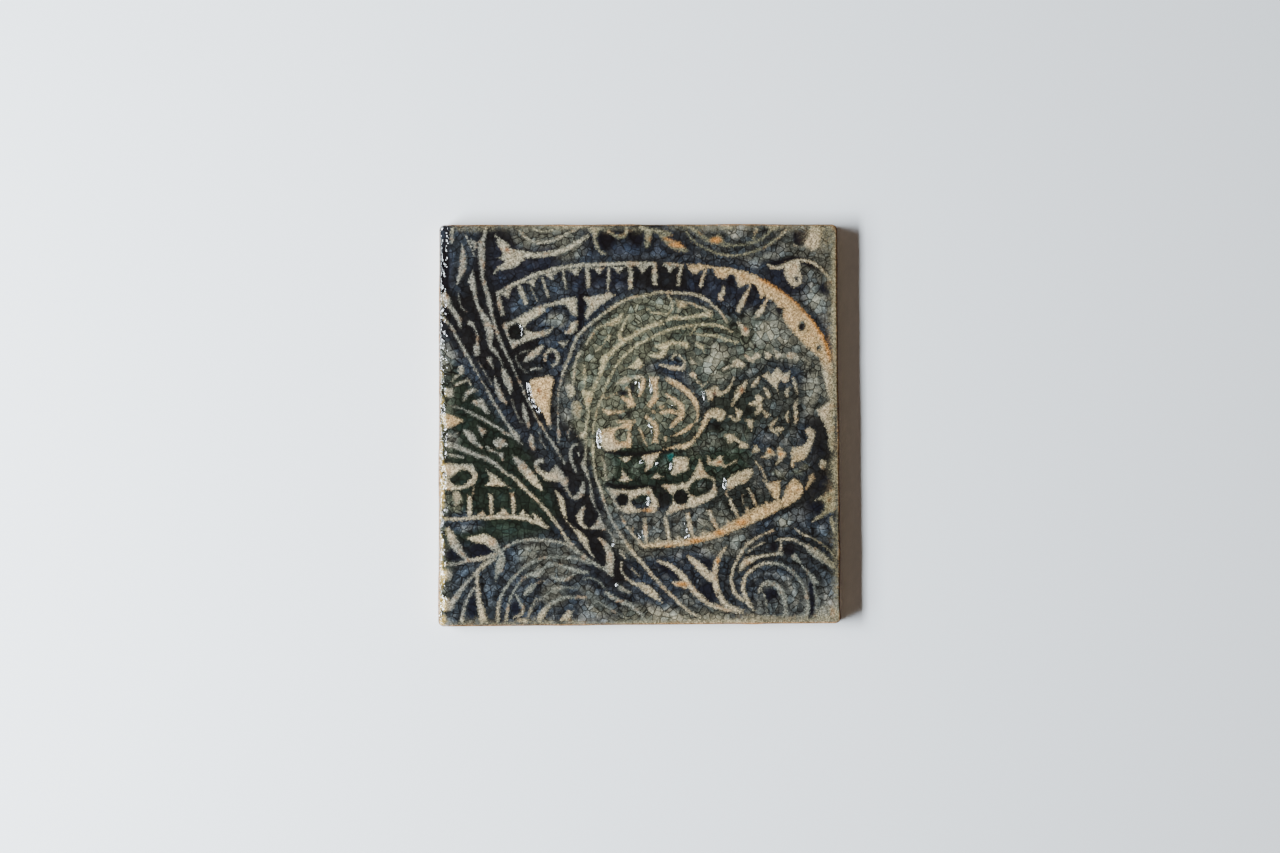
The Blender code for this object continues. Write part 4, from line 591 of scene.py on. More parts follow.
def garland():
    """Two hanging arcs and a bud along the top edge."""
    band((.6,.8,.8,.8,.9,.9,.9,.9,.9,1,1,1,.9,.5), 61.9,98.2, 63.4,96.2, 65.5,94.6, 68,93.3,
         70.5,92.4, 73,92.1, 75.5,92.2, 78,92.7, 80.3,93.5, 82.4,94.6, 84.4,96, 86,97.2, 87,98.4,
         87.3,99)
    band((.9,1.2,1.3,1.2,.9,.9,.9,.9,1,1,1,1,1), 62.6,99.5, 64.3,98.3, 66,96.9, 67.8,95.7, 70,94.9,
         72.5,94.6, 75,94.6, 77.5,95, 79.6,95.6, 81.2,96.4, 82.5,97.5, 83.6,98.6, 84.8,99.4)
    patch(67.6,96.6, 69.3,97, 70.3,97.7, 71,96.8, 71.8,95.7, 73,94.9, 71,94.7, 68.6,95.2)
    band((.8,.9,1.1), 78.9,95.6, 79.3,97.2, 79.9,99.2)
    patch(93.3,99.7, 92.7,98, 92,96, 91.5,94.4, 92.6,93.5, 94,93.2, 95.3,93.8, 96,95.6, 96.6,97.6,
          97,99.2, 95,99.8)
    rail(.6, 88.8,94.7, 90.2,94.2, 91.8,94.4, low=True)


def bud():
    """The bud on its curved branch, in the top right."""
    band((.6,1,1.1,1.2,1.5), 82.2,90, 83.4,89.2, 84.8,89, 86.2,89.3, 87.4,90)
    patch(86.5,89.9, 88.2,91, 90.5,91, 90.7,89.6, 90.7,88.3, 91.1,87, 91.1,85.6, 90.3,84.4, 89.3,84,
          88,84.6, 87,86.2, 86.5,88)
    band((1,.9,1,1,1.1,1,1,1.2), 89.5,90.8, 91.4,90.8, 93.2,90.4, 94.8,89.5, 96.2,88.3, 97.4,86.9,
         98.4,85, 98.9,83)
    pit(89.7,86.1, .35)


def great_border():
    """The toothed border of the great paisley, over the top and down the right side."""
    band([.9] + [1.2] * 14, 14.5,82.6, 17,83.9, 19,85, 21,85.9, 23,86.9, 25,87.5, 27,88.1, 29,88.7,
         31,89.1, 34,89.6, 38,89.7, 42,89.9, 47,90.1, 51,90.1, 54.8,89.9)
    rail(1, 56.2,90, 58.8,89.8, 61.4,89.6)
    teeth(-1, (15.2,82.7, 17.4,81.4, 18.9,84.6), (21.2,85.6, 23.8,84.4, 25.2,87),
              (26.1,87.3, 28.4,86.1, 30.3,88.6), (32,88.9, 34.4,86.9, 36.4,89.1),
              (37.9,89.3, 40.3,87.6, 41.9,89.3), (43,89.5, 45.1,87.5, 47,89.4),
              (48.9,89.8, 51.1,87.8, 53.4,89.7), (56.3,89.9, 57.9,88, 60.4,89.5))
    rails((1.3, 15,82.3, 15.5,79.9, 16.2,77.2), (1.4, 20,85.3, 21,82.6, 22.1,79.9),
          (.9, 25.8,87, 26.5,84.9, 27.6,81.6), (.8, 31.1,89, 31.5,86.6, 32,83.8),
          (1.3, 37.2,89.3, 37.5,86.8, 37.6,84), (.9, 42.6,89.5, 42.6,87, 42.4,83.2),
          (1.4, 47.9,89.8, 48.2,86.8, 48,83.6), (1.5, 54.2,89.8, 54.1,87.3, 54.3,84.6),
          (1.1, 61,89.8, 60.4,87.4, 59.9,84.4))
    rail(.6, 23,84.4, 24,82.4, 24.9,80.6, low=True)
    rail(1, 67,89, 66.3,86.9, 65.6,84)
    patch(71.4,84.6, 71.9,82.8, 71.3,81.8, 71.4,80.8, 70.3,80.9, 69.8,82, 70.6,83.2)
    band((.6,.9,1.5,1.5,.9), 78.2,84.8, 77.3,82.8, 76.3,80.9, 75.3,79.2, 74.9,77.8)
    band((.6,.9,1.6,1.5,.7), 82.3,81.6, 81.6,79.9, 80.9,78.6, 80,77.4, 79.3,76.5)
    plate(62.2,90, 66,90, 69,89.4, 73,89, 76.5,88.3, 80,87, 83,85.4, 86,83.4, 89,81, 91.5,78.5,
          94,75.7, 96,72.8, 97.5,69.8, 98.5,66.5, 98.9,63, 98.9,56, 97.5,56, 97,57.5, 96.3,60,
          95.8,63, 95,66.5, 93.5,67.8, 91.5,69.5, 89.8,71.3, 88.3,73, 86.8,75, 86.1,76.5, 86.3,79,
          84.6,79.3, 83.6,80.7, 82.3,81.1, 81.6,81.8, 80.6,81.2, 80.1,82.6, 79.6,84.3, 78.7,84.9,
          77,84.7, 75,83.9, 74.5,85.5, 74.1,87, 73.3,87.4, 72.6,87, 72.1,86.1, 70,86.3, 69.2,87.3,
          68.7,88.8, 67.6,89, 66.4,88.6, 64.3,87.4, 63.6,87.4, 62.3,89.4)
    pool(90.3,73.6, 90.2,74.8, 91.2,75.6, 91.6,74.6, 91.2,73.2)
    pit(95,69, .45)


def right_margin():
    """The lands that run down the right edge."""
    patch(98.9,57, 98.9,50, 98.8,44.4, 98,42.6, 97.1,44.4, 97,47, 96.5,49, 95.5,51, 94.2,53.6,
          95.6,54.2, 97,55.4)
    rail(1, 98.6,42, 98.5,39, 98.8,36)
    patch(93.6,30.9, 95,31.9, 97,33.3, 98.8,35, 99,31, 98.8,28, 97,27.4, 95.8,26.6, 94.4,26.1,
          92.9,25.4, 93.8,26.8, 94.9,27.6, 95.8,28.9, 95.9,30.1, 95.1,30.8)
    band((1,1.3,1.1,.5), 97.7,27.2, 97.9,25.4, 98.3,23.6, 98.8,21.8)
    rail(1, 99,98, 99,90, 99,84, 99,76, low=True)
    patch(95,40.9, 96,41, 96.9,40.4, 96.5,39.2, 95.5,38.5, 94.8,39.6)
    patch(93.3,37.9, 93.8,36.3, 92.8,34.8, 91.4,33.4, 91.3,34.4, 92,35.8, 92.3,37.1, low=True)


def upper_eyes():
    """The eye panel and its end triangle, under the upper teeth."""
    patch(16.1,75, 18,75.9, 20,77, 23,78.7, 26,80, 28.5,80.5, 31,81.4, 34.5,81.8, 34.8,79,
          34.7,76.9, 33.4,77.4, 32.6,78.4, 31.8,79.7, 30,79.8, 28.3,79.4, 27,78.9, 26.4,77.9,
          25,76.8, 23.6,76, 22.2,75, 21.9,74, 23,73.4, 26,73.4, 27.6,73.8, 28.9,74.6, 28,72.9,
          26.4,72, 24.6,71.5, 22,70.6, 20,69.8, 18.5,68.9, 17.7,70.6, 17,72.5)
    pit(19.5,73.2, 2)
    patch(33.1,75.6, 35,75.7, 34.8,74.2, 34.1,72.8, 33,72.5, 31.4,73, 32.5,74)
    plate(36.2,82, 38,82, 40,82.4, 42.8,83, 44.3,82.3, 43,81.3, 40,79, 38.2,77.3, 37.2,76.2,
          36.6,76.6, 36.6,78, 37.3,79.6)
    band((.6,.6,.6,.5), 19.3,67.6, 19.6,66.2, 20.6,64.3, 22.3,62.9, low=True)
    leaf(2, 26.4,69.9, 24.4,68.1, 21.2,65.6)
    rail(.5, 20.2,67.8, 21.4,68.3, 22.9,68.6, low=True)
    rail(.8, 23,63.8, 24.5,64.1, 25.9,64.1)
    band((.6,1,1,1), 26.6,65.9, 26.8,67.4, 27.6,68.4, 28.8,68.8)
    band((.9,1,1.1,1.1,.8), 28.7,68.8, 29.5,68, 29.9,66.8, 29.6,65.4, 28.4,64.6)
    plate(29.8,70.7, 32.6,71, 31.9,69.9, 31.3,69.1, 30.5,69.9)


def hood():
    """The hood of the inner paisley, with its ribs and leaves."""
    band((.7,.9,.7,.5,.5,.6,.9,1,1,.9,.9,.9,.9,.9,.9,.9,.9,.8,.8,.8,.9,1,.9,.8,.6), 29.9,45.5,
         30.2,47, 29.9,50, 30,53, 30,57, 30.6,60.5, 31.3,63.2, 32.4,66.3, 33.7,69.5, 34.8,72,
         36.7,74, 38.8,75.7, 41,77.4, 43.5,79.1, 46,80.6, 49,81.8, 52,82.2, 55,82.9, 58,82.9,
         61,82.7, 64,82.4, 66.6,81.4, 69.3,79.1, 71.2,77, 72.3,75.1)
    band((.4,.9,.9,.8,.5), 33.6,59.5, 33.8,62, 34.3,65.2, 35,67.5, 36,68.4)
    rail(.8, 36.8,69.9, 38,71.7, 39.3,73.5, 41,75)
    patch(31.6,60, 33.4,60.3, 34.2,59, 34.3,57.7, 33.4,56.8, 32.5,56.8, 32.2,58.2)
    patch(33.2,55.5, 34.5,56, 36,55, 35.9,53, 35.2,51.4, 34,52, 33.3,53.5, low=True)
    patch(36.1,59.4, 37.4,58.6, 38.5,58.9, 39.4,60.3, 38.9,58, 38.4,56.2, 38,54.8, 37.3,53.9,
          36.5,55, 36.1,56.8, 35.8,58.3)
    rail(.8, 36.4,65.3, 36.6,62.5, 36.7,59)
    rail(.8, 37.3,54.4, 37.6,53, 37.1,51, 36.9,49.3)
    band((1,1.1,1.2,1.6,2.1,1.5,1.4,1.6,1.5,1.4,1.4,1.5,1.4), 38.5,58.7, 39.5,60.6, 40.5,62.7,
         41,64.6, 41.6,66.3, 43,67.7, 44.7,69.3, 46.4,70.9, 48.2,71.9, 50.3,73.2, 52.3,74.2,
         54.4,75, 56.5,75.4)
    band((.8,1.2,1.1,1.1,1.2,1.5,1.1), 56.8,75.8, 59,76.6, 61.5,76.5, 63.5,76.8, 65.5,77.2,
         67.2,77.4, 68.6,77)
    band((1.5,1.2,.9,.6), 45.7,70.8, 45.4,72.3, 46.2,74.5, 47.5,77.2)
    rail(.5, 39.3,68.2, 40.6,69.3, 41.8,70.5)
    leaf(1, 41.4,70.6, 42.5,71.7, 43.4,73)
    patch(40.9,74.6, 42.6,75.9, 44.5,76.9, 46.5,78, 46.1,76.3, 45,75, 43.2,74.6)
    band((.5,.7,.8,.7,.6,.6,.7,.5), 57.4,82.3, 58.4,80.8, 58.6,79.5, 58.1,78.2, 56.8,77.5,
         55.2,77.7, 53.6,77.9, 52,79.1)
    rail(.7, 59.4,81, 61.2,80.4, 63.2,80.2, 65.2,79.3, 67,78.6, 68.8,77.8)
    patch(59.6,80.7, 61.6,80.2, 62.2,79.5, 61,79, 60.1,77.9, low=True)


def medallion_rim():
    """The rim lines of the medallion inside the hood."""
    band((.6,.6,.6,.7,.8,.8,.8,.9,.9,.9,.9,.9,1,.9,1,.9,.6), 38.5,47.5, 38.9,50, 39.6,53.4, 41,57.3,
         42.2,60.4, 43.4,62.9, 44.8,65.2, 46.6,67.3, 48.8,69.2, 51.4,70.7, 54.2,72.2, 57.2,73.4,
         60.4,74.2, 63.6,74.7, 67.4,74.9, 71,74.3, 73.6,72.8)
    rail(.6, 64.8,75, 63.9,73.7, 62.8,72.2)
    rail(.9, 64.3,72.7, 66.6,72.3, 69.4,72.1, 71.4,71.2, 75,70.3)
    patch(53.8,69.5, 55.6,70.4, 58,70.9, 60.5,70.9, 62.5,70.5, 62.9,69.3, 62,68.7, 60.6,69.6,
          59,69.8, 57.9,69.4, 57.3,67.9, 56.3,66.7, 54.5,66.3, 52.6,67.2, 54.3,68, 55.7,68.3,
          54.9,68.9)
    band((.6,.8,.7,.7,.9,1.3,1.3,1.3,1,.5), 58.3,66.3, 59,67.3, 60,67.2, 61,66.3, 61.5,65.1, 61,64,
         59.8,64, 58,64.3, 56.6,64.7, 55.2,64.9)
    plate(63.3,71, 65,70.5, 66.4,69.8, 66.6,67.8, 65.3,68.9, 64.3,69.9)
    plate(62.8,67.1, 64.9,65, 63,65)
    patch(62.6,62.5, 63.3,63.4, 64.6,62.4, 64.4,61.2, 63.4,61.5)
    rail(.6, 64.4,60.9, 65.4,60.1, 66,59.2)
    rail(.5, 67.1,60.7, 66,59.3)
    plate(46.7,64.2, 48.5,65.3, 49.8,67, 50.9,66.2, 51.4,64.9, 50.5,64, 49,63.6)
    rail(.9, 71,63.6, 72.8,64.4, 74.6,64.9)


def medallion():
    """The rosette, bars and arcs of the medallion."""
    band((.8,1.6,1.7,1.7,1.6,1.4,1,.8,.6), 56.6,61.6, 58.5,60.6, 60.3,59.5, 62,58.2, 63.4,56.7,
         64.3,55, 64.6,53.4, 64.7,52, 64.5,50.6)
    band((.6,1,1.4,1.6,1.6,1.6,1.3,1.1,.7), 56.8,57.9, 58,56.7, 59.4,55.8, 60.5,54.6, 60.9,53.2,
         60.5,51.9, 59.4,50.8, 58.4,49.9, 57.6,49.2)
    rail(1.2, 55.2,53.1, 57,53.2, 60.3,53)
    plate(52.6,62.1, 55.3,61.9, 54.9,60.6, 54.8,58, 55,56.6, 54.4,55.4, 52.9,54, 51.9,54.8,
          52.8,56.1, 53.6,57.6, 53.3,59.5)
    band((1,1.5,1.3,.5), 50.7,62.3, 51.1,60.8, 50.8,59, 50.1,57)
    band((.7,1.3,1.5,1.4,1.3,1.7), 51.7,52.3, 53,51, 54.2,49.8, 54.4,48, 54.2,46.6, 54,45.4)
    rail(.6, 50.2,49.3, 51.1,46.9, 52,44.5)
    for u, v, radius in ((55.8,54.4,.65), (53.6,53.2,.5), (56.7,46.5,.5)):
        dot(u, v, radius)
    patch(44.2,60.2, 45.3,61.3, 46.8,62.1, 48.6,61.9, 50.4,62.6, 50.6,61.6, 49.7,61.4, 48.6,61.3,
          47.6,60.6, 46.4,60.1)
    band((.6,.7,.7,.6), 46.9,59.5, 47.6,58.6, 47.9,57.2, 48.6,55.8)
    patch(46,57.3, 47.2,56.9, 48.3,56.9, 49.3,55, 48.6,54.2, 47.3,54.2, 46.9,55.2, 45.6,56.8)
    patch(41,54.2, 43.2,53.7, 45.2,53.5, 46.4,53.6, 46.2,52.8, 44,52.8, 42.4,52.3, 41.4,53)
    band((.7,.9,1,.8), 44.6,50.6, 46,51, 47.8,50.6, 49.4,51.2)
    rail(.5, 40.8,57.6, 41.9,56.6, 43.2,57.2, 44.6,57.9, low=True)
    patch(40.4,48.9, 42.5,49.3, 45,49.6, 47.3,50.8, 48.5,50.2, 48.1,48.3, 48.3,46.5, 48.2,44.5,
          46,44.1, 43.5,43.4, 41.5,43.6, 40.4,45.3)
    pool(44.3,48.3, 45.3,49.1, 46.8,49, 47.2,48, 47,46.5, 45.8,45.8, 44.6,46.3, 44.1,47.3)
    band((.4,.6,1.2,1.6,1.2,.9,1,1.5,1.6), 56,43.7, 58,44.2, 60,44.5, 61.6,44.5, 63.1,45.5,
         64.3,46.9, 65.4,48.4, 66.3,50, 67,51.5)
    leaf(1.1, 58.2,47.1, 61,48.2, 64.2,50.7)


def leaf_ring():
    """The ring of small leaves round the star, on the right."""
    patch(74.6,75.8, 76,75, 77.2,74.3, 77.8,73.2, 77.5,71.9, 76,72.1, 75.5,73.3, 74.9,74.6)
    patch(73.4,65.9, 74.9,66.3, 76.3,65.4, 76.8,64.6, 75.8,63.9, 74.4,64.2, 73.4,64.8)
    patch(76.1,67.4, 77.3,67.2, 78.2,66.7, 79,67.6, 80,67.9, 80.6,66.8, 79.4,66, 78.5,65.1,
          77.3,65.9)
    patch(81.4,67.9, 82.6,68, 83.4,67.2, 82.8,66.3, 81.9,66.2)
    patch(83.6,69, 84.8,68.2, 86,67.3, 85.5,66.4, 84.3,66.1, 83.8,67.3)
    patch(86.8,67.7, 88.3,68, 89.3,67.7, 90.2,66.5, 89.5,65.5, 88.7,66.2, 87.3,66.2)
    rail(.5, 90.5,66.9, 92.5,65.1, 91.2,63, low=True)
    plate(80.8,62, 81.7,62.9, 82.4,63.3, 82.9,62.1, 83.5,63, 84.3,64, 85.2,64, 86,62.7, 86.9,62.9,
          87.9,63.4, 87.9,62, 87.5,60.8, 86.6,60.1, 85.5,60.7, 84.9,60, 84.7,58.6, 85,57.6, 83.8,59,
          82.3,60.5)
    patch(80.1,61.9, 80.1,60.6, 79.5,59.6, 78.1,59.1, 78.4,60.3, 79,61.2)
    patch(81.1,59.4, 82.3,58.6, 83.1,57.3, 82.7,56.3, 81.8,57.2)
    plate(78.9,57.1, 80,57.5, 81.4,56.6, 80.9,55.6, 81.1,54.6, 81,53.6, 82,52.9, 83.1,52.4,
          82.1,51.5, 81.3,51.3, 81,52.7, 80,52.9, 79.2,52.1, 78.8,53, 79.4,54.4, 78.4,54.5,
          76.9,54.9, 78,55.8, 79,56)
    band((.5,1.2,2,1.8,1.2,.6), 77.1,61.2, 76.5,60, 75.6,58.7, 74.8,57.4, 74,56.2, 73.1,54.6)
    patch(74,54.1, 75.4,53.7, 76.1,52.9, 75.4,52, 75.2,50.8, 74.4,50.9, 74.3,52.3)
    plate(76.3,51.2, 78.6,51.2, 78.5,49.8, 78.3,47.9, 77.6,48.9)
    leaf(1.1, 72.1,52.4, 73.4,51.6, 74.4,50.4)
    band((.5,1,1.1,.9,.5), 84.8,51.6, 83.4,50.2, 82.9,49.3, 83.6,48.3, 84.9,47.3)
    patch(83.7,48.6, 85.4,49.4, 86.2,48.7, 85,47.8)
    rail(.9, 88.4,61.7, 89,60, 89.7,57.4)
    band((.3,.9,1.2,1,.9,.4), 89.8,56.4, 89.1,55, 89,53.8, 89.2,52.5, 89.2,51.2, 88.8,49.7)
    leaf(1, 87.8,59.5, 87,58, 87.1,56.5)
    leaf(.9, 87.4,53.3, 86.9,51.7, 87.2,50.2)
    patch(66.6,58.5, 67.5,58.9, 69,59.6, 70,59.6, 70.2,58.5, 71.2,58.1, 71.2,57.3, 70,56.9, 69,57.2,
          68.4,56, 67.2,55.8, 66.9,57)
    band((1.1,1,.7,.5), 70.8,57.8, 72,58.3, 73,59.8, 73.8,61.7)
    patch(67.4,53.7, 69,54, 70.6,54, 71.7,53, 71.7,51.8, 70.8,50.8, 69.8,50.8, 68.9,51.4, 67.5,51.5,
          66.2,51.2, 66.3,52.5)


def chain():
    """The chain of small leaves below the star, and the crescent at its end."""
    patch(71,47.5, 72.5,47.8, 73.6,47.6, 74.5,46.7, 75.5,45.9, 76.6,45.6, 77.6,44.3, 76.2,43.8,
          75,44.1, 74.7,45.2, 73.8,45.6, 72.1,45.3, 71.8,46.4)
    plate(78,43, 78.9,45.1, 79.6,44.4, 80.5,43.3, 79.5,42.9)
    patch(80.3,41.7, 81.3,42.6, 82.2,44.4, 83.1,43.8, 84,42.5, 83,41.8, 81.8,41.4)
    patch(84.2,43.3, 84.8,44.4, 86,43.6, 86.9,42.5, 86,41.3, 85,40.2, 83.9,39.8, 84.5,41.5)
    patch(88,44.1, 89.5,44.3, 91,45, 92,46, 91.8,47.3, 91.3,48.4, 92.3,49.3, 93.4,49, 94,47.5,
          93.6,45.8, 93,44, 92,42, 91,40.9, 89.5,40.7, 88.8,40.2, 88.5,39, 87.8,39.4, 88,41.4,
          87.7,42.7)


def lower_bands():
    """The scroll band and the two lower eye panels."""
    plate(45.2,41.9, 48.4,42.3, 47.4,41, 46.4,40.5)
    plate(45.7,39.4, 46.6,38, 47.5,37, 48.2,36.2, 46.5,35.7, 44.8,36.2, 45.8,37.3)
    plate(50.5,42.4, 54,43, 55.7,43.3, 54.8,42, 54,40.9, 53.3,39.5, 51.9,38.3, 51.3,38.5, 51.8,39.6,
          51.5,40.8, 50.8,41.5)
    plate(52.9,36.6, 53.7,37.4, 54.6,38, 55.2,37.4, 56.1,37, 54.5,36.4)
    patch(58.3,41.2, 59,42, 61,42, 62.4,41.6, 62.4,40, 62.3,38.8, 60.8,38, 59,37.4, 58,37.8,
          58.4,39.4)
    patch(42.3,34.1, 45,34, 48,33.8, 50.5,34.3, 52.8,34.3, 53.9,32.5, 54.9,30.8, 54.7,29, 53.6,28,
          50.5,28.4, 48,27.9, 46,28.2, 44.6,29.6, 43.8,31.8)
    pit(45.9,31.4, 1.55)
    pool(48,30.9, 49.4,31.9, 51,32.6, 52.3,32.2, 52.9,31, 52.3,29.6, 51,29.1, 49.3,29.4)
    patch(55.8,34.8, 57.5,35.3, 59.3,35.2, 61,35.7, 62.3,36.1, 63.2,37.3, 64,38.8, 64.7,40.4,
          65.2,41.6, 65.8,40.3, 66.5,38.8, 67.4,37.3, 68.7,36.7, 69.2,35.5, 69.4,34, 69.3,32.4,
          68,31.2, 66.5,30.6, 65,29.8, 63.3,29.3, 61.5,29.1, 60,28.6, 58.8,28.1, 56.4,27.4,
          57.5,29.4, 58.2,30.8, 58.4,32, 57,33.6)
    pit(60.4,31.9, 1.9)
    pool(62.4,33.3, 63,35, 64.2,36.1, 66,36.5, 68.2,36.2, 68.6,35.2, 67.5,33.5, 66,32.5, 64.3,32.1,
         62.9,32.6)
    patch(71.8,34.2, 71.5,35.5, 72.2,36.7, 73.5,37.6, 75,38.3, 76.5,38.9, 78.1,39, 78.4,37.6,
          77.4,36.2, 76,35.2, 74.3,34.6, 73,33.7)
    rail(.6, 72.3,34, 71.7,33, 72.4,31.5, low=True)
    plate(66.9,42.2, 67.6,42.3, 68,41, 69,41.2, 69.8,42.3, 71.2,42.2, 70.9,41, 71.3,40.2, 71.8,39.1,
          70,39.5, 68,39.8, 66.9,39.9)
    rail(.7, 71.2,39.5, 73,40.3, 74.5,41.1)
    plate(82.1,35.5, 84,35.9, 85.3,35.8, 85.2,33.5, 84.9,31.4, 84.3,30.8, 83.2,31.8, 82.2,33.4,
          80.7,36.4)
    rail(.6, 78.9,40.9, 80.4,39, 81.4,37, 82,35.4)


def lower_border():
    """The toothed border along the foot of the great paisley, with its pickets."""
    band((.7,1.2,1.5,1.8,1.9,2,2.2,2.7,3.4,3.2,2.4), 49.6,21.3, 51,20, 54,20.1, 58,20.4, 62,20.8,
         66,21.7, 70,23, 74,24.9, 78,26.9, 82,28.7, 85.5,30.3)
    patch(84.3,29.8, 85.5,31.6, 86.3,33.5, 87.3,35.4, 88.6,36.5, 90.3,35.3, 91.1,33.6, 90.3,31.8,
          88.5,30.4, 86.5,29.2)
    teeth(1, (52.9,20.1, 54.8,22, 56.2,20.6), (57.7,20.6, 59.8,22.4, 61.6,21),
             (64.1,21.3, 66,23.6, 68.2,22.7), (70.3,23.1, 72,26.1, 74.4,25.6),
             (75.4,25.8, 76.8,29.3, 78.6,27.9), (80.6,28.1, 81.6,30.8, 84,29.8))
    rails((1.2, 51.4,26.8, 51.6,24, 51.8,20.6), (1.2, 56.5,27, 57,24.2, 57.5,21.2),
          (1.4, 62,28.2, 62.5,25.4, 63.4,21.6), (1.2, 67.2,28.9, 68.2,26.6, 69.8,23.4),
          (1.1, 72.4,31.6, 73.4,29.3, 75.2,26), (.9, 77.1,34.1, 78.3,31.6, 79.9,28.2))
    rail(.5, 75.6,32.5, 75.9,30, low=True)


def linear(colour):
    """A daylight colour in the renderer's linear values."""
    share = np.array(colour) / 255
    return np.where(share <= 0.04045, share / 12.92, ((share + 0.055) / 1.055) ** 2.4)


def glaze_pair(thin, deep):
    """A glaze's colour out in the open and where it pools beside a land, side by side."""
    return np.concatenate([linear(thin), linear(deep)])


# Glaze colours, as the surface reflects them (0 to 255)
RING = glaze_pair((66, 66, 59), (33, 33, 32))
CLOUD = glaze_pair((78, 75, 66), (36, 37, 35))
DUSK = glaze_pair((38, 42, 49), (24, 26, 29))
NIGHT = glaze_pair((31, 35, 43), (19, 20, 25))
BLUE = glaze_pair((48, 53, 59), (29, 32, 35))
SLATE = glaze_pair((61, 61, 59), (27, 30, 34))
OLIVE = glaze_pair((83, 82, 66), (59, 59, 47))
SAGE = glaze_pair((72, 73, 59), (61, 61, 49))
FERN = glaze_pair((60, 62, 49), (47, 49, 39))
FOG = glaze_pair((68, 67, 60), (52, 51, 44))
MIST = glaze_pair((88, 85, 71), (53, 54, 45))
MOSS = glaze_pair((55, 56, 51), (33, 34, 30))
BOTTLE = glaze_pair((36, 38, 34), (27, 30, 25))
ASH = glaze_pair((62, 64, 58), (24, 26, 23))
WILLOW = glaze_pair((50, 55, 46), (22, 28, 21))
GREEN = glaze_pair((28, 36, 29), (18, 24, 18))
PALE = glaze_pair((84, 83, 72), (52, 51, 45))
PEWTER = glaze_pair((64, 65, 63), (30, 33, 36))
STEEL = glaze_pair((52, 57, 61), (26, 29, 31))
RIVER = glaze_pair((46, 51, 54), (24, 26, 27))
STONE = glaze_pair((87, 84, 71), (58, 57, 49))
FROST = glaze_pair((98, 96, 86), (47, 48, 45))
SHELL = glaze_pair((88, 83, 68), (56, 55, 46))
SEDGE = glaze_pair((62, 62, 53), (41, 43, 35))
SOOT = glaze_pair((34, 35, 35), (21, 22, 22))
JET = glaze_pair((18, 19, 20), (14, 14, 15))
SHADE = glaze_pair((14, 15, 20), (20, 20, 19))
INK = glaze_pair((10, 9, 13), (10, 9, 13))
NAVY = glaze_pair((12, 14, 21), (12, 14, 21))
PIT_GREEN = glaze_pair((16, 20, 16), (12, 13, 12))
TEAL = glaze_pair((9, 45, 42), (9, 45, 42))

# Colours of the clay under its thin glaze
CREAM = linear((148, 131, 102))
PEACH = linear((161, 131, 91))
TAN = linear((152, 124, 85))
SAND = linear((130, 120, 98))
WARM_SAND = linear((142, 124, 93))
GREY_TAN = linear((110, 104, 90))
BLUE_TAN = linear((102, 99, 86))
OLIVE_CREAM = linear((127, 117, 89))
RING_CREAM = linear((141, 127, 93))
ORANGE = linear((145, 97, 48))
BLUSH = linear((164, 121, 80))
RUST = linear((101, 62, 38))
DARK_RED = linear((64, 30, 25))
DRAB = linear((98, 89, 65))
DULL = linear((91, 85, 65))
CLAY = linear((196, 164, 122))
BURNT = linear((96, 60, 42))
BROWN = linear((71, 61, 46))
RIM_CREAM = linear((178, 149, 80))

# How the rim's tints and its bare cream fade inwards, in pattern units
RIM_OLIVE = (3, 1.2)
RIM_OLIVE_SHARE = 0.7
RIM_BLUSH = (0.7, 0.3)
LEFT_CREAM = (2.6, 1.2)
LEFT_CREAM_TOP = (70, 62)
EDGE_BARE = (0.5, 0.15)
EDGE_BARE_SHARE = 0.9
GLOSS_EDGE = (3.2, 1.9)

# The left, right, lower and upper side's share of bare cream, where it starts and where it is full
SIDE_WASHES = ((0.85, 1.5, 0.6), (0.6, 3.2, 0.2), (0.6, 2.5, 0.2), (0.4, 2.4, 0.2))


def depth_inside(u, v, outline):
    """How far inside a closed outline each point lies, below zero outside."""
    near = np.full(len(u), np.inf)
    within = np.zeros(len(u), bool)
    for start, end in zip(outline, np.roll(outline, -1, axis=0)):
        along = end - start
        x, y = u - start[0], v - start[1]
        near = np.minimum(near, from_segment(x, y, along))
        if along[1]:
            within ^= ((start[1] > v) != (end[1] > v)) & (x < y / along[1] * along[0])
    return np.where(within, 1, -1) * np.sqrt(near)


class Paint:
    """Soft-edged values laid one over another on points of the face."""

    def __init__(self, u, v, base):
        self.u = u
        self.v = v
        self.edge = rim_distance(u, v)
        self.value = np.tile(np.asarray(base, float), (len(u), 1))

    def lay(self, value, share):
        """Covers each point with its own share of a value."""
        self.value += share[:, None] * (np.asarray(value, float) - self.value)

    def area(self, value, softness, *outline):
        """Covers what a smooth outline holds."""
        shape = smooth_curve(pairs(outline), closed=True)
        low, high = shape.min(axis=0) - softness, shape.max(axis=0) + softness
        across = (self.u > low[0]) & (self.u < high[0])
        close = np.nonzero(across & (self.v > low[1]) & (self.v < high[1]))[0]
        share = np.zeros(len(self.u))
        depth = depth_inside(self.u[close], self.v[close], shape)
        share[close] = smooth_step(depth, -softness, softness)
        self.lay(value, share)

    def spots(self, value, *places, softness=0.45):
        """Covers round spots, each by its middle and its two half widths."""
        for middle_u, middle_v, wide, high in np.array(places, float).reshape(-1, 4):
            away = np.hypot((self.u - middle_u) / wide, (self.v - middle_v) / high)
            spread = softness / min(wide, high)
            self.lay(value, 1 - smooth_step(away, 1 - spread, 1 + spread))

    def trail(self, value, reach, *route):
        """Covers a line, fully within a third of its reach and fading beyond."""
        line = smooth_curve(pairs(route))
        depth = depth_inside(self.u, self.v, np.vstack([line, line[::-1]]))
        self.lay(value, smooth_step(depth, -reach, -reach / 3))


# The layers of colour, laid one over another: a colour, how soft its edge is, and its outline

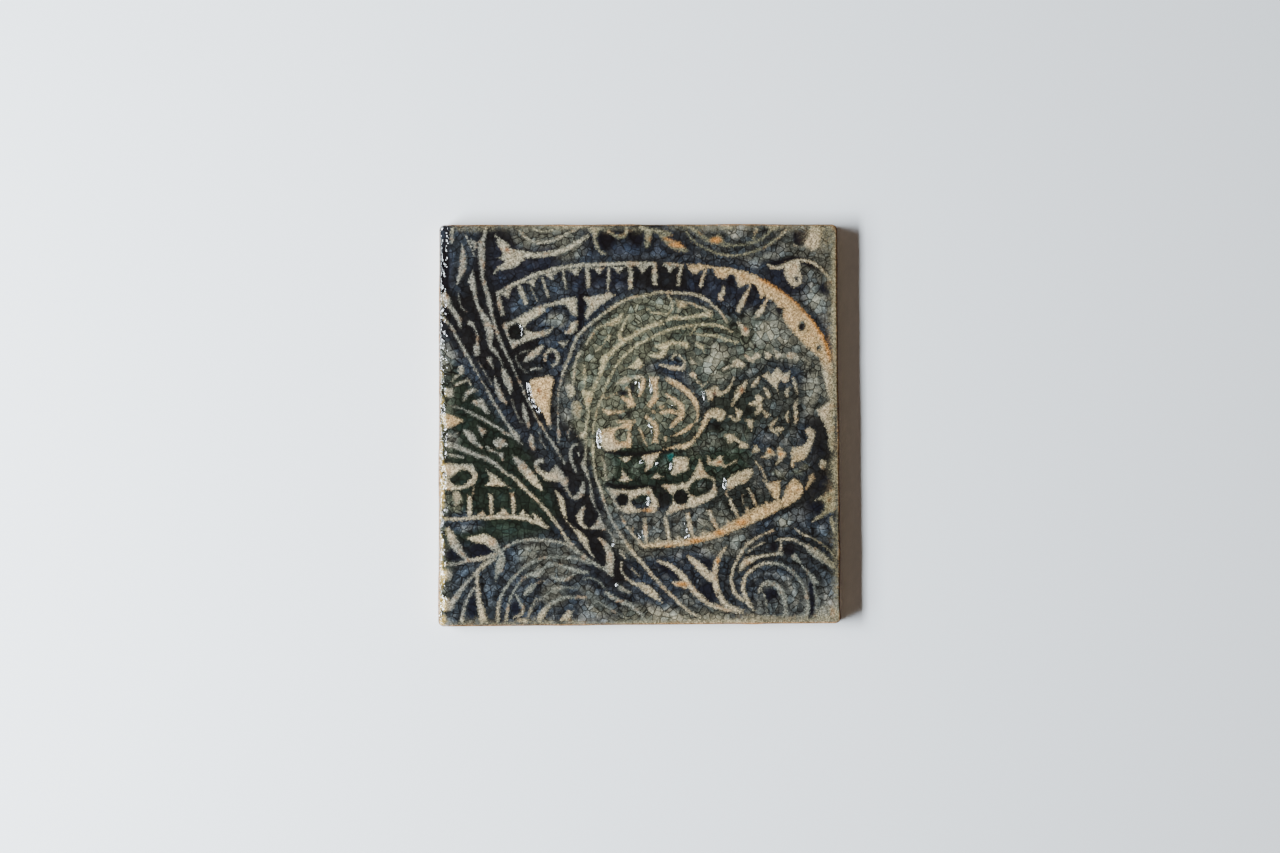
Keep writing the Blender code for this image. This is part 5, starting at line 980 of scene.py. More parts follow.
def margin_washes(glaze):
    """The ground's broad colours along the top edge, and from the foot to the right."""
    glaze.area(RING, 3, 12,101, 60,101, 58,91, 50,91.5, 26,89, 14,86)
    glaze.area(STONE, 2, 20,99.5, 34,99.5, 35,92, 27,90, 20,94)
    glaze.area(CLOUD, 3, 62,101, 86,101, 84,93, 76,92, 64,94)
    glaze.area(DUSK, 2.5, 38,99, 60,99, 64,92, 50,91, 37,91)
    glaze.area(FOG, 3, 86,101, 101,101, 101,76, 97,76, 94,84, 87,89)
    glaze.area(STEEL, 4, -1,23, 28,23, 38,17, 46,10, 52,2, 52,-1, -1,-1)
    glaze.area(PEWTER, 3, -1,24, 6,24, 7,12, 6,-1, -1,-1)
    glaze.area(PALE, 2.5, 21,20.5, 27,21.5, 35,18, 34,12, 27,10.5, 22,14)
    glaze.area(BLUE, 3, 8,14, 16,13, 24,8, 24,-1, 8,-1)
    glaze.area(SLATE, 3, 24,9, 36,9, 46,6, 46,-1, 26,-1)
    glaze.area(STONE, 1.6, 33,9, 40,10, 45,6, 43,3, 35,4)
    glaze.area(DUSK, 2, 34,14, 38,17, 46,10, 50,4, 44,4, 38,9)
    glaze.area(SLATE, 4, 54,10, 60,19, 70,25, 86,28, 98,24, 101,-1, 56,-1)
    glaze.area(RIVER, 3, 68,18, 84,24, 100,22, 101,5, 84,5, 70,6)
    glaze.area(SHELL, 2, 46,4, 50,5, 58,4, 76,4.5, 82,3, 101,4, 101,-1, 44,-1)


def hood_washes(glaze):
    """The ground's colours under the great border and inside the hood."""
    glaze.area(BLUE, 2, 14,84, 20,89, 34,91, 52,91, 66,90, 76,87, 85,81, 83,78, 74,83, 62,86, 50,87.5,
               36,87, 26,84, 18,80)
    glaze.area(NIGHT, 1.5, 13,82, 22,86, 34,88.5, 52,88.5, 66,87.5, 76,84, 84,78, 82,76, 74,80, 62,82,
               50,83.5, 36,83.5, 26,80.5, 16,77.5)
    glaze.area(BLUE, 1.2, 18,77.5, 21,84, 28,86.5, 32,87.5, 33,83, 27,80.5)
    glaze.area(SHADE, 1.6, 46,90, 58,90, 62,88, 60,85, 48,85.5)
    glaze.area(NIGHT, 1.2, 82,88, 86,90, 91,87, 90,83, 86,82)
    glaze.area(SLATE, 3, 17,75, 30,79, 46,80, 40,70, 35,60, 27,62, 21,68)
    glaze.area(OLIVE, 2, 34,58, 35.5,68, 41,77, 50,82, 62,80.5, 72,75, 76,70.5, 68,66, 60,67.5, 50,64,
               44,58, 41,50, 40.5,40, 44,30, 48,22, 44,27, 38,40)
    glaze.area(MIST, 3, 76,77, 84,77, 90,72, 82,66, 74,62, 66,57, 63,62, 66,68, 72,70)
    glaze.area(STONE, 2.5, 84,80, 90,80, 94,72, 99,62, 98,54, 93,51, 89,60, 84,68)
    glaze.area(FERN, 2, 58,76, 66,79, 76,74, 78,70, 70,69, 60,71)
    glaze.spots(SAGE, 49,53,12,10.5, 58,50,8,8, softness=2)


def medallion_washes(glaze):
    """The ground's colours right of the medallion and below it."""
    glaze.area(MOSS, 2, 72,58, 77,62, 84,65, 90,60, 91,52, 87,46, 82,48)
    glaze.spots(PEWTER, 87,62,5,3, softness=1.5)
    glaze.area(BOTTLE, 2.5, 67,56, 72,60, 79,58, 80,50, 76,44, 70,45)
    glaze.area(STONE, 1.6, 41,20, 42.5,29, 50,28, 62,29, 74,31, 82,30, 74,22, 60,19, 46,17)
    glaze.area(ASH, 2, 60,36, 72,38, 86,38, 92,32, 86,28, 74,27, 66,29)
    glaze.area(WILLOW, 2, 41,46, 50,45.5, 60,44, 68,49, 74,46, 80,41, 76,37, 68,36, 56,33, 44,33.5)
    glaze.area(GREEN, 1.4, 47,36, 56,37, 66,36, 66,31, 58,30.3, 50,30.6, 46,33)
    glaze.area(CLOUD, 2, 79,43, 88,46, 92,41, 89,33, 79,34)
    glaze.spots(SEDGE, 64,44.5,4,2.4, 72,47,5,2.6, softness=1.2)
    glaze.area(SHADE, 2.5, 92,52, 96,52, 99,48, 99,40, 97,30, 92,27, 90,32, 93,42)


def sheaf_washes(glaze):
    """The ground's colours in the sheaf and on the left side."""
    glaze.area(JET, 2.5, -1,101, 14,101, 16,84, 23,68, 32,54, 37.5,46, 39,38, 40.5,30, 43.5,22, 48,12,
               44,10, 38,20, 34,32, 22,48, 10,64, -1,77)
    glaze.area(SOOT, 2.5, 22,64, 27,63, 33,54, 37,48, 39,40, 39,33, 36,34, 31,46, 24,56)
    glaze.area(JET, 1.5, 17,47, 22,46, 28,38, 34,30, 39,22, 46,12, 43,11, 36,20, 30,26, 25,33, 19,41)
    glaze.area(OLIVE, 1.3, 31,57, 33,64, 38,66, 41,52, 42,44, 43,37, 40.5,35, 38,42, 35.5,47.5, 31,53)
    glaze.area(STEEL, 1.5, 23,50, 28,50, 33,44, 30,40, 26,43)
    glaze.area(JET, 1, 12,98, 17.5,99, 19,96, 17,92, 18,88, 15,84, 11,90)
    glaze.area(GREEN, 2, -1,68, 6,62.5, 13,54, 20,46, 27,36, 30,28, 27,23.5, -1,23.5)
    glaze.area(DUSK, 1.2, 1.5,99, 8,99, 8,86, 5,82, 2,85)
    glaze.area(SEDGE, 2, -1,70, 3,68, 3.5,56, 3,44, 3.5,30, 2.5,4, -1,2)
    glaze.spots(PEWTER, 6,26,5,2.5, softness=1)


def smaller_washes(glaze):
    """Smaller changes of colour over the broad ones, all over the ground."""
    glaze.area(FROST, 1.4, 43,22, 44,28.5, 50,27.8, 58,28, 66,29.3, 64,25, 52,21.5)
    glaze.area(MIST, 1.5, 61,71, 74,72, 77,66, 71,62, 62,64)
    glaze.area(JET, 1.2, 14,95, 18,96, 20,92, 17,89, 14,89)
    glaze.area(PEWTER, 2, 74,10, 80,14, 88,14, 94,9, 101,8, 101,-1, 74,-1)
    glaze.area(STONE, 1.6, 78,4.5, 84,6, 91,5, 96,4, 101,4, 101,-1, 76,-1)
    glaze.area(FROST, 1.2, 80,3.5, 85,5, 90,4, 90,-1, 80,-1)
    glaze.spots(FROST, 62,6.5,2.4,2, softness=1)
    glaze.area(NIGHT, 2, 13,95, 22,94, 29,94.5, 30,89, 24,86.5, 14,85)
    glaze.area(PEWTER, 2, 18,11, 28,12, 36,9, 37,1, 20,1)
    glaze.area(STEEL, 2, 3,13, 9,15, 15,12, 15,2, 5,2)
    glaze.spots(SEDGE, 60,48,5,4.5, softness=2)
    glaze.spots(JET, 22.5,71,2.6,4, softness=1)
    glaze.area(FROST, 2, 78,0, 81,9, 88,11.5, 95,9, 98,0)
    glaze.area(BLUE, 1.2, 3,100, 9,100, 9,92, 6,88, 3,94)
    glaze.spots(FROST, 32.5,56,3,5, softness=1.2)
    glaze.area(PALE, 2, 90,99, 100,99, 100,91, 93,92)
    glaze.area(JET, 1.2, 48.5,90, 62,88.5, 62,84.5, 49,85)
    glaze.area(SHELL, 1.2, 84.5,80.5, 90,80, 92,76, 88,74.5, 86,77)


def dark_pockets(glaze):
    """Where the glaze stands deepest and nearly black."""
    glaze.spots(INK, 49.4,96.6,1.9,2.7, 42.2,96,2.2,2.6, 90.6,96.5,2,2, 73.2,85.7,1,1.6,
                79.1,83.7,.6,1.2, 85,78,1,1, 90.7,74.2,.6,.8, 28.5,67,.7,1, 1.7,88,1.2,8,
                2.6,97.7,.35,.8, 10.8,93,.35,2, 65.5,31.3,.5,.5, 96,16.2,.4,.4, 88.3,1.3,.3,.3,
                84.7,2,.3,.3, 76.5,.5,.3,.3, 87.3,18.7,1.5,1.5, 83.2,19.4,1.2,1.1, 69.5,7.6,.3,.3)
    glaze.area(INK, .6, 82.5,90, 86,91.3, 89,92, 92,91.5, 94.5,90.3, 97,87.8, 94,88.6, 90,90,
               86,89.6)
    glaze.area(NAVY, .6, 94.5,83, 96.5,85.5, 98,84, 97.6,82, 96,82.5)
    glaze.spots(NAVY, 46.1,57.9,1.2,.6, 48.6,59.4,.6,1.2, 35.1,42.5,.7,.7, 94,29,1.6,1.4,
                3.8,18,1.9,1.6, 10.5,19,3,1.8, 8.6,4.6,1,3.2, 19.2,4.6,1,1.6, 67,8,2.6,2.6,
                66.8,15.5,1.2,1.4, 82.5,7.4,2,1.7)
    glaze.trail(NAVY, 1.1, 55,15.3, 58,13.2, 60.8,11.5)
    glaze.trail(NAVY, 1, 92.5,10, 92.8,6, 92.3,1)
    glaze.trail(INK, 1.2, 35.6,84, 35.8,80, 35.5,76, 34.5,73)
    glaze.spots(PIT_GREEN, 47.6,52.6,.8,1, 45.5,51.8,.5,.7, 69.2,49,1.2,1.8, 56,31.5,1.8,2.2,
                45.9,31.4,1.4,1.4, 60.4,31.9,1.8,1.8, 19.5,73.2,1.9,1.9)
    glaze.spots(TEAL, 58,42,1,1)
    glaze.trail(PIT_GREEN, 1, 42,43.6, 48,42.6, 54,43, 58,43.7)
    glaze.trail(PIT_GREEN, 1, 42,35.2, 48,34.3, 56,34.4)
    glaze.trail(MOSS, 1, 94.6,59.9, 95.2,57.8, 95.5,55.4, 94,54.3)


def pale_cells(glaze):
    """Where the crackled glaze is thin, light and grey."""
    glaze.spots(PALE, 94.5,81,2.2,3.4, 65.6,34.8,.7,.7, 26,17,5,2.4,
                29,8,3.4,3, 72,20,6,3, 86,25.4,2,1.4, 3.5,46.5,1.6,2, softness=.9)
    glaze.spots(PALE, 80,91.7,4,1, 29.5,76,2.5,1.5, softness=.8)
    glaze.spots(OLIVE, 4.9,30.6,1.3,2.4, 84,37.7,.7,.6, 85.7,36.7,.6,.5, 89,38,.7,.6,
                91.5,39.5,.7,.6, 44.2,55.2,2,1.2, 45.4,47,.8,.8, 34.5,53.8,1.3,2)


def land_tints(clay):
    """How the glaze over the lands turns from cream to sand, peach, tan and olive."""
    clay.area(SAND, 3, 12,101, 60,101, 62,86, 50,84, 30,84, 14,80)
    clay.area(SAND, 3, 16,82, 42,84, 42,58, 22,62)
    clay.area(SAND, 2, 3,70, 14,60, 26,44, 24,38, 3,42)
    clay.area(DULL, 2, 40,101, 86,101, 84,93, 76,91, 62,91, 52,92, 40,93)
    clay.area(DRAB, 2, 96,101, 101,101, 101,4, 97,4, 93,20, 96,40, 98,60, 98,76)
    clay.area(GREY_TAN, 3, -1,101, 13,101, 15,84, 23,68, 30,62, 36,50, 42,38, 46,26, 46,10, 62,0,
              30,-1, 44,10, 34,30, 22,46, 10,60, -1,72)
    clay.area(BLUE_TAN, 3, 14,22.5, 30,22, 44,14, 48,4, 30,4, 14,6)
    clay.area(BLUE_TAN, 3, 80,3, 80,12, 84,18, 92,20, 98,12, 98,0, 80,0)
    clay.area(GREY_TAN, 2, 5,59, 14,57, 22,48, 26,40, 16,39, 4,42)
    clay.area(GREY_TAN, 2, 3,22, 8,20, 9,2, 3,2)
    clay.area(SAND, 2, 84,74, 94,76, 97,62, 90,60, 84,66)
    clay.area(WARM_SAND, 2, 63,60, 76,60, 90,52, 91,38, 80,34, 62,38)
    clay.area(RING_CREAM, 3, 34,58, 35.5,68, 41,77, 50,83, 62,81, 72,75, 76,70, 68,66, 60,67.5,
              50,64, 44,58, 41,50, 40.5,40, 42,32, 38,40)
    clay.spots(PEACH, 54,52,13,9.5, softness=1)
    clay.area(PEACH, .8, 22.5,61, 29.5,61.5, 28,52, 26.5,49, 24,54)
    clay.area(TAN, 2.5, 62,91, 74,90, 86,85, 95,75, 98,64, 94,66, 88,71, 84,79, 78,84, 68,87, 62,88)
    clay.area(PEACH, 1.5, 76,86, 84,82, 90,75, 88,72, 84,78, 78,82)
    clay.area(TAN, 2, 47,20, 58,17, 74,20, 86,27, 94,36, 90,42, 84,36, 72,26, 60,21)


def rusty_marks(clay):
    """Small orange, rusty and brown marks on the lands and along the rim."""
    clay.spots(RUST, 1.5,82.3,1,1.2, 17.2,93.6,.5,.5, 98.9,44.5,.5,1.5, 76.8,73.7,.6,.6,
               75.7,58.5,.5,.7, 52.4,33.2,.4,.4, 70.1,40.7,.5,.4, 2.3,63,.5,1.3)
    clay.spots(ORANGE, 60.6,94.8,2.4,.7, 58,96.2,1.3,.5, 82.5,43.3,.6,.5, 85.4,42.4,.6,.5,
               60.5,10.3,1.6,.6, 69.5,16,.5,.9, 69.5,96,1.3,.7)
    clay.area(TAN, .6, .8,52.8, 3,52.9, 6.4,51.2, 4.3,50, 1.6,49.5)
    clay.trail(ORANGE, 1.3, 81,86.4, 85.5,83.9, 88.6,81.6, 91.1,79.1, 93.5,76.4, 95.5,73.4,
               97,70.4, 98.3,66.2)
    clay.trail(RUST, .5, 24.5,58.5, 25.5,58.7)
    clay.spots(ORANGE, 64,21,1.6,.7, 57.5,19.4,1.4,.6, 70,23,1.3,.7, 75.5,25.6,1.4,.8, 52,28.6,1.1,.6,
               68,29.6,1.4,.8, 63.5,28.2,1.1,.7, softness=.6)
    clay.spots(DARK_RED, 68.9,57.6,.4,.5)
    clay.trail(BROWN, .5, 24,.5, 40,.4, 54,.5, 60,.6)
    clay.trail(RUST, .6, 99.8,1, 99.7,8, 99.6,14, 99.5,20)


def rim_tints(clay):
    """The thin glaze over the raised rim: olive inside it, cream down the left and blushed at the edge."""
    clay.lay(OLIVE_CREAM, RIM_OLIVE_SHARE * smooth_step(clay.edge, *RIM_OLIVE))
    clay.lay(RIM_CREAM, smooth_step(clay.u, *LEFT_CREAM) * smooth_step(clay.v, *LEFT_CREAM_TOP))
    clay.lay(BLUSH, smooth_step(clay.edge, *RIM_BLUSH))


def thin_glaze(bare):
    """Where the clay's cream shows without any land: round the rim and in a few patches."""
    u, v = bare.u, bare.v
    wander = wavers(u, v, WASH_SWELLS)
    for away, (cover, start, full) in zip((u, SIDE - u, v, SIDE - v), SIDE_WASHES):
        bare.lay(1, cover * smooth_step(away + wander, start, full))
    bare.spots(1, 33,99.6,4.4,.7, 72.7,99.2,1.3,.8, 84.1,99.2,1.4,.8, 99.3,78,.8,21, 98.8,99.3,1.6,.9,
               99.2,38.5,.5,3.5, 61,79.8,1,.7, 2.3,13,1.2,1.4, 2.5,5.5,1.6,1.3, 1.4,2,.7,1,
               29.6,9.5,1.1,.5, 21.2,1.5,1.2,.5, 74,.6,25,.7, 96.5,2.5,3,2.2)
    bare.spots(0, 53.5,99.8,5.5,1)
    bare.spots(.5, 96,96.5,4,3, softness=2)
    bare.area(0, .7, -.6,99.4, 4,99.2, 4,83, -.6,83)
    bare.area(0, .7, -.6,79, 4,79, 5,65, -.6,64)
    bare.lay(EDGE_BARE_SHARE, smooth_step(bare.edge, *EDGE_BARE))


def glossy_places(gloss):
    """The left rim and the left-facing edges where the glaze's surface follows the clay and mirrors the
    window.
    """
    u, v = gloss.u, gloss.v
    gloss.lay(1, smooth_step(u + wavers(u, v, GLOSS_SWELLS), *GLOSS_EDGE))
    gloss.spots(1, 20.7,74.2,.5,.6, 21.3,73.2,.5,.6, 53.3,59.3,.5,.9,
                53.2,49.3,.5,.5, 58.3,54.5,.5,.5, 49.8,60.3,.5,.5, 40.5,46.6,.7,2.2, 66.7,57.6,.5,.8,
                76,49,.5,.5, 51.1,40.5,.5,.5, 54.9,40.2,.5,.5, 58.2,39.6,.5,.8, 52.6,31,.6,1,
                71.7,35.2,.5,1.3, 50.6,22,.5,.5, 44.1,20.1,.5,.5, 44.8,10.3,.5,.5, 6.8,28.8,.25,.3)
    gloss.trail(1, .8, 22.7,60, 23.4,57, 24,55.3, 25.6,53.2)
    gloss.trail(1, .6, 61.5,24.5, 62.4,22)


# The motifs and the layers of colour, each in the order in which it is laid over those before it
MOTIFS = (
    corner_stems, stem_sheaf, sheaf_foot, left_fan, left_border, foot_sprig, foot_arches, foot_flower,
    foot_scroll, fish_tail, top_ring, garland, bud, great_border, right_margin, upper_eyes, hood,
    medallion_rim, medallion, leaf_ring, chain, lower_bands, lower_border,
)
GROUND_LAYERS = (margin_washes, hood_washes, medallion_washes, sheaf_washes, smaller_washes, pale_cells,
                 dark_pockets)
LAND_LAYERS = (land_tints, rusty_marks, rim_tints)


def rim_distance(u, v):
    """How far in from the rounded outline a point of the pattern lies."""
    x = np.minimum(u, SIDE - u) - CORNER_RADIUS
    y = np.minimum(v, SIDE - v) - CORNER_RADIUS
    corner = CORNER_RADIUS - np.hypot(np.minimum(x, 0), np.minimum(y, 0))
    return np.where((x < 0) & (y < 0), corner, np.minimum(x, y) + CORNER_RADIUS)


def surface(field, u, v):
    """The glaze's height at each point of the grid, from 0 at the clay's ground to 1 at its top."""
    wall = smooth_step(field, -WALL_OUT, WALL_IN)
    crown = 1 - np.exp(-np.maximum(field, 0) / CROWN_RUN)
    lift = np.where(field > land, 1, tone) * (wall * (1 - CROWN) + crown * CROWN)
    swell = UNEVEN * wavers(u, v, GLAZE_SWELLS)
    most = sum(share for share, *_ in GLAZE_SWELLS) * UNEVEN
    height = GLAZE_LEVEL + (1 - GLAZE_LEVEL - most) * lift + swell
    return softened(height, SOFTENINGS)


def left_side(u, v):
    """How near a point is to the left side, from 1 along it to 0 further in and at its ends."""
    return smooth_step(u, *LEFT_SIDE) * smooth_step(np.minimum(v, SIDE - v), *LEFT_ENDS)


def with_rim(u, v):
    """The lands and the raised rim as one field of distances."""
    rim = RIM_LAND + LEFT_RIM * left_side(u, v) + wavers(u, v, RIM_SWELLS) - rim_distance(u, v)
    return soft_max(land, rim)


def face_corners():
    """The face's four corners in metres, top left first and then clockwise."""
    half = np.array([cad_high[0] - cad_low[0], cad_high[1] - cad_low[1]]) / 2
    insets = np.array([TOP_LEFT_IN, TOP_RIGHT_IN, BOTTOM_RIGHT_IN, BOTTOM_LEFT_IN]) * MM
    return np.array([(-1, 1), (1, 1), (1, -1), (-1, -1)]) * (half - insets)


def placed(u, v):
    """Points of the pattern on the tile, in metres."""
    top_left, top_right, bottom_right, bottom_left = face_corners()
    a, b = (u / SIDE)[..., None], (v / SIDE)[..., None]
    return ((1 - b) * ((1 - a) * bottom_left + a * bottom_right)
            + b * ((1 - a) * top_left + a * top_right))


def pattern_place(x, y):
    """Points of the tile back in the pattern's units, by a few rounds of correction."""
    half_width, half_length = cad_high[0], cad_high[1]
    u = (x / half_width + 1) * SIDE / 2
    v = (y / half_length + 1) * SIDE / 2
    for _ in range(CORRECTIONS):
        off = placed(u, v) - np.stack([x, y], axis=-1)
        u = u - off[..., 0] / (2 * half_width) * SIDE
        v = v - off[..., 1] / (2 * half_length) * SIDE
    return u, v


def grid_lines():
    """The lines of the face's mesh along one side: close over the shoulder, even between."""
    turn = np.linspace(0, math.pi / 2, SHOULDER_STEPS + 1)
    first = SHOULDER * (1 - np.cos(turn))
    count = int((SIDE - 2 * SHOULDER) / FINE_STEP)
    middle = np.linspace(SHOULDER, SIDE - SHOULDER, count + 1)[1:-1]
    return np.concatenate([first, middle, SIDE - first[::-1]])


def rounded_corners(u, v):
    """Points of a square drawn in to the square's rounded corners."""
    a = CORNER_RADIUS - np.minimum(u, SIDE - u)
    b = CORNER_RADIUS - np.minimum(v, SIDE - v)
    in_corner = (a > 0) & (b > 0)
    share = np.where(in_corner, np.maximum(a, b) / np.maximum(np.hypot(a, b), TINY), 1)
    new_u = CORNER_RADIUS - a * share
    new_v = CORNER_RADIUS - b * share
    return (np.where(in_corner, np.where(u < SIDE / 2, new_u, SIDE - new_u), u),
            np.where(in_corner, np.where(v < SIDE / 2, new_v, SIDE - new_v), v))


def drawn_in(u, v):
    """Points near the outline moved in by the hand-made edge's small waver."""
    moved = []
    for along, across, seed in zip((v, u), (u, v), EDGE_SEEDS):
        row = FAR_SIDE_NOISE * (across > SIDE / 2)
        waves = 0.5 + 0.5 * waver(along, row, EDGE_SWELL, seed)
        far = np.minimum(across, SIDE - across)
        push = EDGE_WAVER * waves * (1 - smooth_step(far, 0, EDGE_WAVER_FADE))
        moved.append(across + np.where(across < SIDE / 2, push, -push))
    return moved[0], moved[1]


def shoulder_drop(u, v, edge):
    """How far the shoulder has fallen: rounded all along, with a lumpy slope down the left side."""
    left = left_side(u, v)
    radius = SHOULDER - (SHOULDER - LEFT_SHOULDER) * left
    run = np.clip(radius - edge, 0, radius)
    lumps = LEFT_LUMPS * wavers(u, v, LUMP_SWELLS, 1)
    fall = np.maximum(LEFT_REACH - edge, 0)
    return radius - np.sqrt(radius ** 2 - run ** 2) + left * (LEFT_SLOPE * fall + lumps * np.minimum(fall, 1))


def face_points(height):
    """The points of the glazed face's fine sheet, on a square grid of lines."""
    lines = grid_lines()
    u, v = rounded_corners(*np.meshgrid(lines, lines))
    edge = rim_distance(u, v)
    rise = sample(height, u, v) * RELIEF_DEPTH
    z = cad_high[2] - RELIEF_DEPTH + rise - shoulder_drop(u, v, edge) * MM
    z = np.minimum(z, cad_high[2])
    return np.concatenate([placed(*drawn_in(u, v)), z[..., None]], axis=-1)


def face_mesh(height):
    """The glazed face as one sheet, thinned where it is flat."""
    points = face_points(height)
    n = len(points)
    index = np.arange(n * n).reshape(n, n)
    quads = np.stack([index[:-1, :-1], index[:-1, 1:], index[1:, 1:], index[1:, :-1]], axis=-1).reshape(-1, 4)
    mesh = bpy.data.meshes.new("face")
    mesh.from_pydata(points.reshape(-1, 3), [], quads)
    sheet = bpy.data.objects.new("face", mesh)
    bpy.context.scene.collection.objects.link(sheet)
    thin = sheet.modifiers.new("thin", "DECIMATE")
    thin.ratio = FACE_TRIANGLES / (2 * len(quads))
    graph = bpy.context.evaluated_depsgraph_get()
    made = bpy.data.meshes.new_from_object(sheet.evaluated_get(graph))
    for vert in made.vertices:
        vert.co.z = min(vert.co.z, cad_high[2])
    bpy.data.objects.remove(sheet)
    return made


def side_place(place, inset, level):
    """Where a point of the outline goes in a lower row of the sides, in metres."""
    u, v = pattern_place(np.array(place.x), np.array(place.y))
    edge = float(rim_distance(u, v))
    u, v = float(u), float(v)
    middle = Vector((min(max(u, CORNER_RADIUS), SIDE - CORNER_RADIUS),
                     min(max(v, CORNER_RADIUS), SIDE - CORNER_RADIUS)))
    away = Vector((u, v)) - middle
    spot = middle + away.normalized() * (away.length + edge - inset)
    x, y = placed(np.array(spot.x), np.array(spot.y))
    return x, y, level * MM


def border_points(bm):
    """The points of the sheet's border, in order round the tile."""
    edge = next(edge for edge in bm.edges if edge.is_boundary)
    start, point = edge.verts
    walked = [start]
    while point != start:
        walked.append(point)
        edge = next(other for other in point.link_edges if other.is_boundary and other != edge)
        point = edge.other_vert(point)
    return walked


def add_sides(mesh):
    """Closes the face's sheet into a body with clay sides and a flat back."""
    bm = bmesh.new()
    bm.from_mesh(mesh)
    row = border_points(bm)
    for inset, level in SIDE_ROWS:
        lower = [bm.verts.new(side_place(point.co, inset, level)) for point in row]
        for corners in zip(row, row[1:] + row[:1], lower[1:] + lower[:1], lower):
            bm.faces.new(corners)
        row = lower
    back = bm.faces.new(row)
    bmesh.ops.recalc_face_normals(bm, faces=bm.faces)
    for face in bm.faces:
        face.smooth = True
    back.smooth = False
    for edge in back.edges:
        edge.smooth = False
    bm.to_mesh(mesh)
    bm.free()


class Shader:
    """A material whose nodes are added and joined in one go."""

    def __init__(self, name):
        self.material = bpy.data.materials.new(name)
        self.material.use_nodes = True
        self.tree = self.material.node_tree
        self.tree.nodes.clear()

    def add(self, kind, sockets=None, **settings):
        """A node with its settings, and with a value or another node's output in each socket named."""
        made = self.tree.nodes.new("ShaderNode" + kind)
        for name, value in settings.items():
            setattr(made, name, value)
        for name, value in (sockets or {}).items():
            if isinstance(value, bpy.types.NodeSocket):
                self.tree.links.new(value, made.inputs[name])
            else:
                made.inputs[name].default_value = value
        return made

    def attribute(self, name, output="Fac"):
        return self.add("Attribute", attribute_name=name).outputs[output]

    def math(self, operation, a, b):
        return self.add("Math", {0: a, 1: b}, operation=operation).outputs[0]

    def times(self, a, b):
        return self.math("MULTIPLY", a, b)

    def vector(self, operation, a, b):
        return self.add("VectorMath", {0: a, 1: b}, operation=operation).outputs[0]

    def scaled(self, vector, factor):
        """A place or colour with each of its parts times a factor."""
        return self.add("VectorMath", {0: vector, "Scale": factor}, operation="SCALE").outputs[0]

    def place(self):
        """The piece's own coordinates, in millimetres."""
        return self.scaled(self.add("TexCoord").outputs["Object"], 1 / MM)

    def part(self, colour, number):
        """One of a colour's three parts: red 0, green 1, blue 2."""
        return self.add("SeparateColor", {"Color": colour}).outputs[number]

    def step(self, value, low, high, start=0.0, end=1.0):
        """A value turned smoothly from start to end as it goes from low to high."""
        sockets = {"Value": value, "From Min": low, "From Max": high, "To Min": start, "To Max": end}
        return self.add("MapRange", sockets, interpolation_type="SMOOTHSTEP").outputs["Result"]

    def mix(self, share, a, b, blend="MIX"):
        """Two colours mixed. A mixing node has its share in socket 0 and its colours in 6 and 7."""
        sockets = {0: share, 6: a, 7: b}
        return self.add("Mix", sockets, data_type="RGBA", blend_type=blend).outputs[2]

    def noise(self, place, scale, detail, output="Fac"):
        return self.add("TexNoise", {"Vector": place, "Scale": scale, "Detail": detail}).outputs[output]

    def mottle(self, place, scale, detail, *levels):
        """Noise put through a step."""
        return self.step(self.noise(place, scale, detail), *levels)

    def cells(self, place, scale, feature, output):
        return self.add("TexVoronoi", {"Vector": place, "Scale": scale}, feature=feature).outputs[output]

    def warped(self, place, scale, amount):
        """A place pushed about by noise."""
        push = self.noise(place, scale, WARP_DETAIL, "Color")
        push = self.vector("SUBTRACT", push, MID_NOISE)
        return self.vector("ADD", place, self.scaled(push, amount))

    def flattened(self, share):
        """The surface's direction, turned towards straight up by a share (vectors sit in sockets 4 and 5)."""
        facing = self.add("NewGeometry").outputs["Normal"]
        turned = self.add("Mix", {0: share, 4: facing, 5: UP}, data_type="VECTOR").outputs[1]
        return self.add("VectorMath", {0: turned}, operation="NORMALIZE").outputs[0]

    def bump(self, height, depth, **normal):
        return self.add("Bump", {"Height": height, "Distance": depth, "Strength": 1.0, **normal}).outputs[0]

    def finish(self, **sockets):
        """Joins the surface's sockets, named with underscores for spaces, and gives the material."""
        named = {name.replace("_", " "): value for name, value in sockets.items()}
        surface = self.add("BsdfPrincipled", named)
        self.add("OutputMaterial", {"Surface": surface.outputs[0]})
        return self.material


# The materials' noises are given by their scale to the millimetre and their detail. A mottle has its noise
# first, then the two levels between which it turns, and last the two values it turns between.
WARP_DETAIL = 2.0
MID_NOISE = (0.5, 0.5, 0.5)
UP = (0.0, 0.0, 1.0)
GRIT = (3.4, 2.0)
GRAIN = (2.0, 3.0)
WANDER = (0.9, 2.0)

# The crackle: its flakes, the cracks between them and the finer hair cracks
CRACK_WARP = (1.0, 0.16)
FLAKE_SCALE = 0.58
FLAKE_SHIFT = 40.0
CRACK_WIDTH = (0.105, 0.03)
CRACK_SHOWN = (0.4, 2.0, 0.4, 0.6, 0.6, 1.0)
HAIR_WARP = (0.8, 0.35)
HAIR_SCALE = 0.45
HAIR_WIDTH = (0.07, 0.015)
HAIR_SHOWN = (0.5, 2.0, 0.42, 0.58, -0.6, 0.6)

# What makes the crackled ground lighter and darker
FLAKE_TONES = (0.1, 0.9, 0.7, 1.36)
FLAKE_MOTTLE = (0.9, 2.0, 0.36, 0.64, 0.76, 1.28)
GROUND_MOTTLES = ((0.35, 3.0, 0.35, 0.65, 0.85, 1.18), (3.2, 2.0, 0.36, 0.64, 0.72, 1.33))
CRACK_TONES = (0.0, 1.0, 1.55, 0.27)

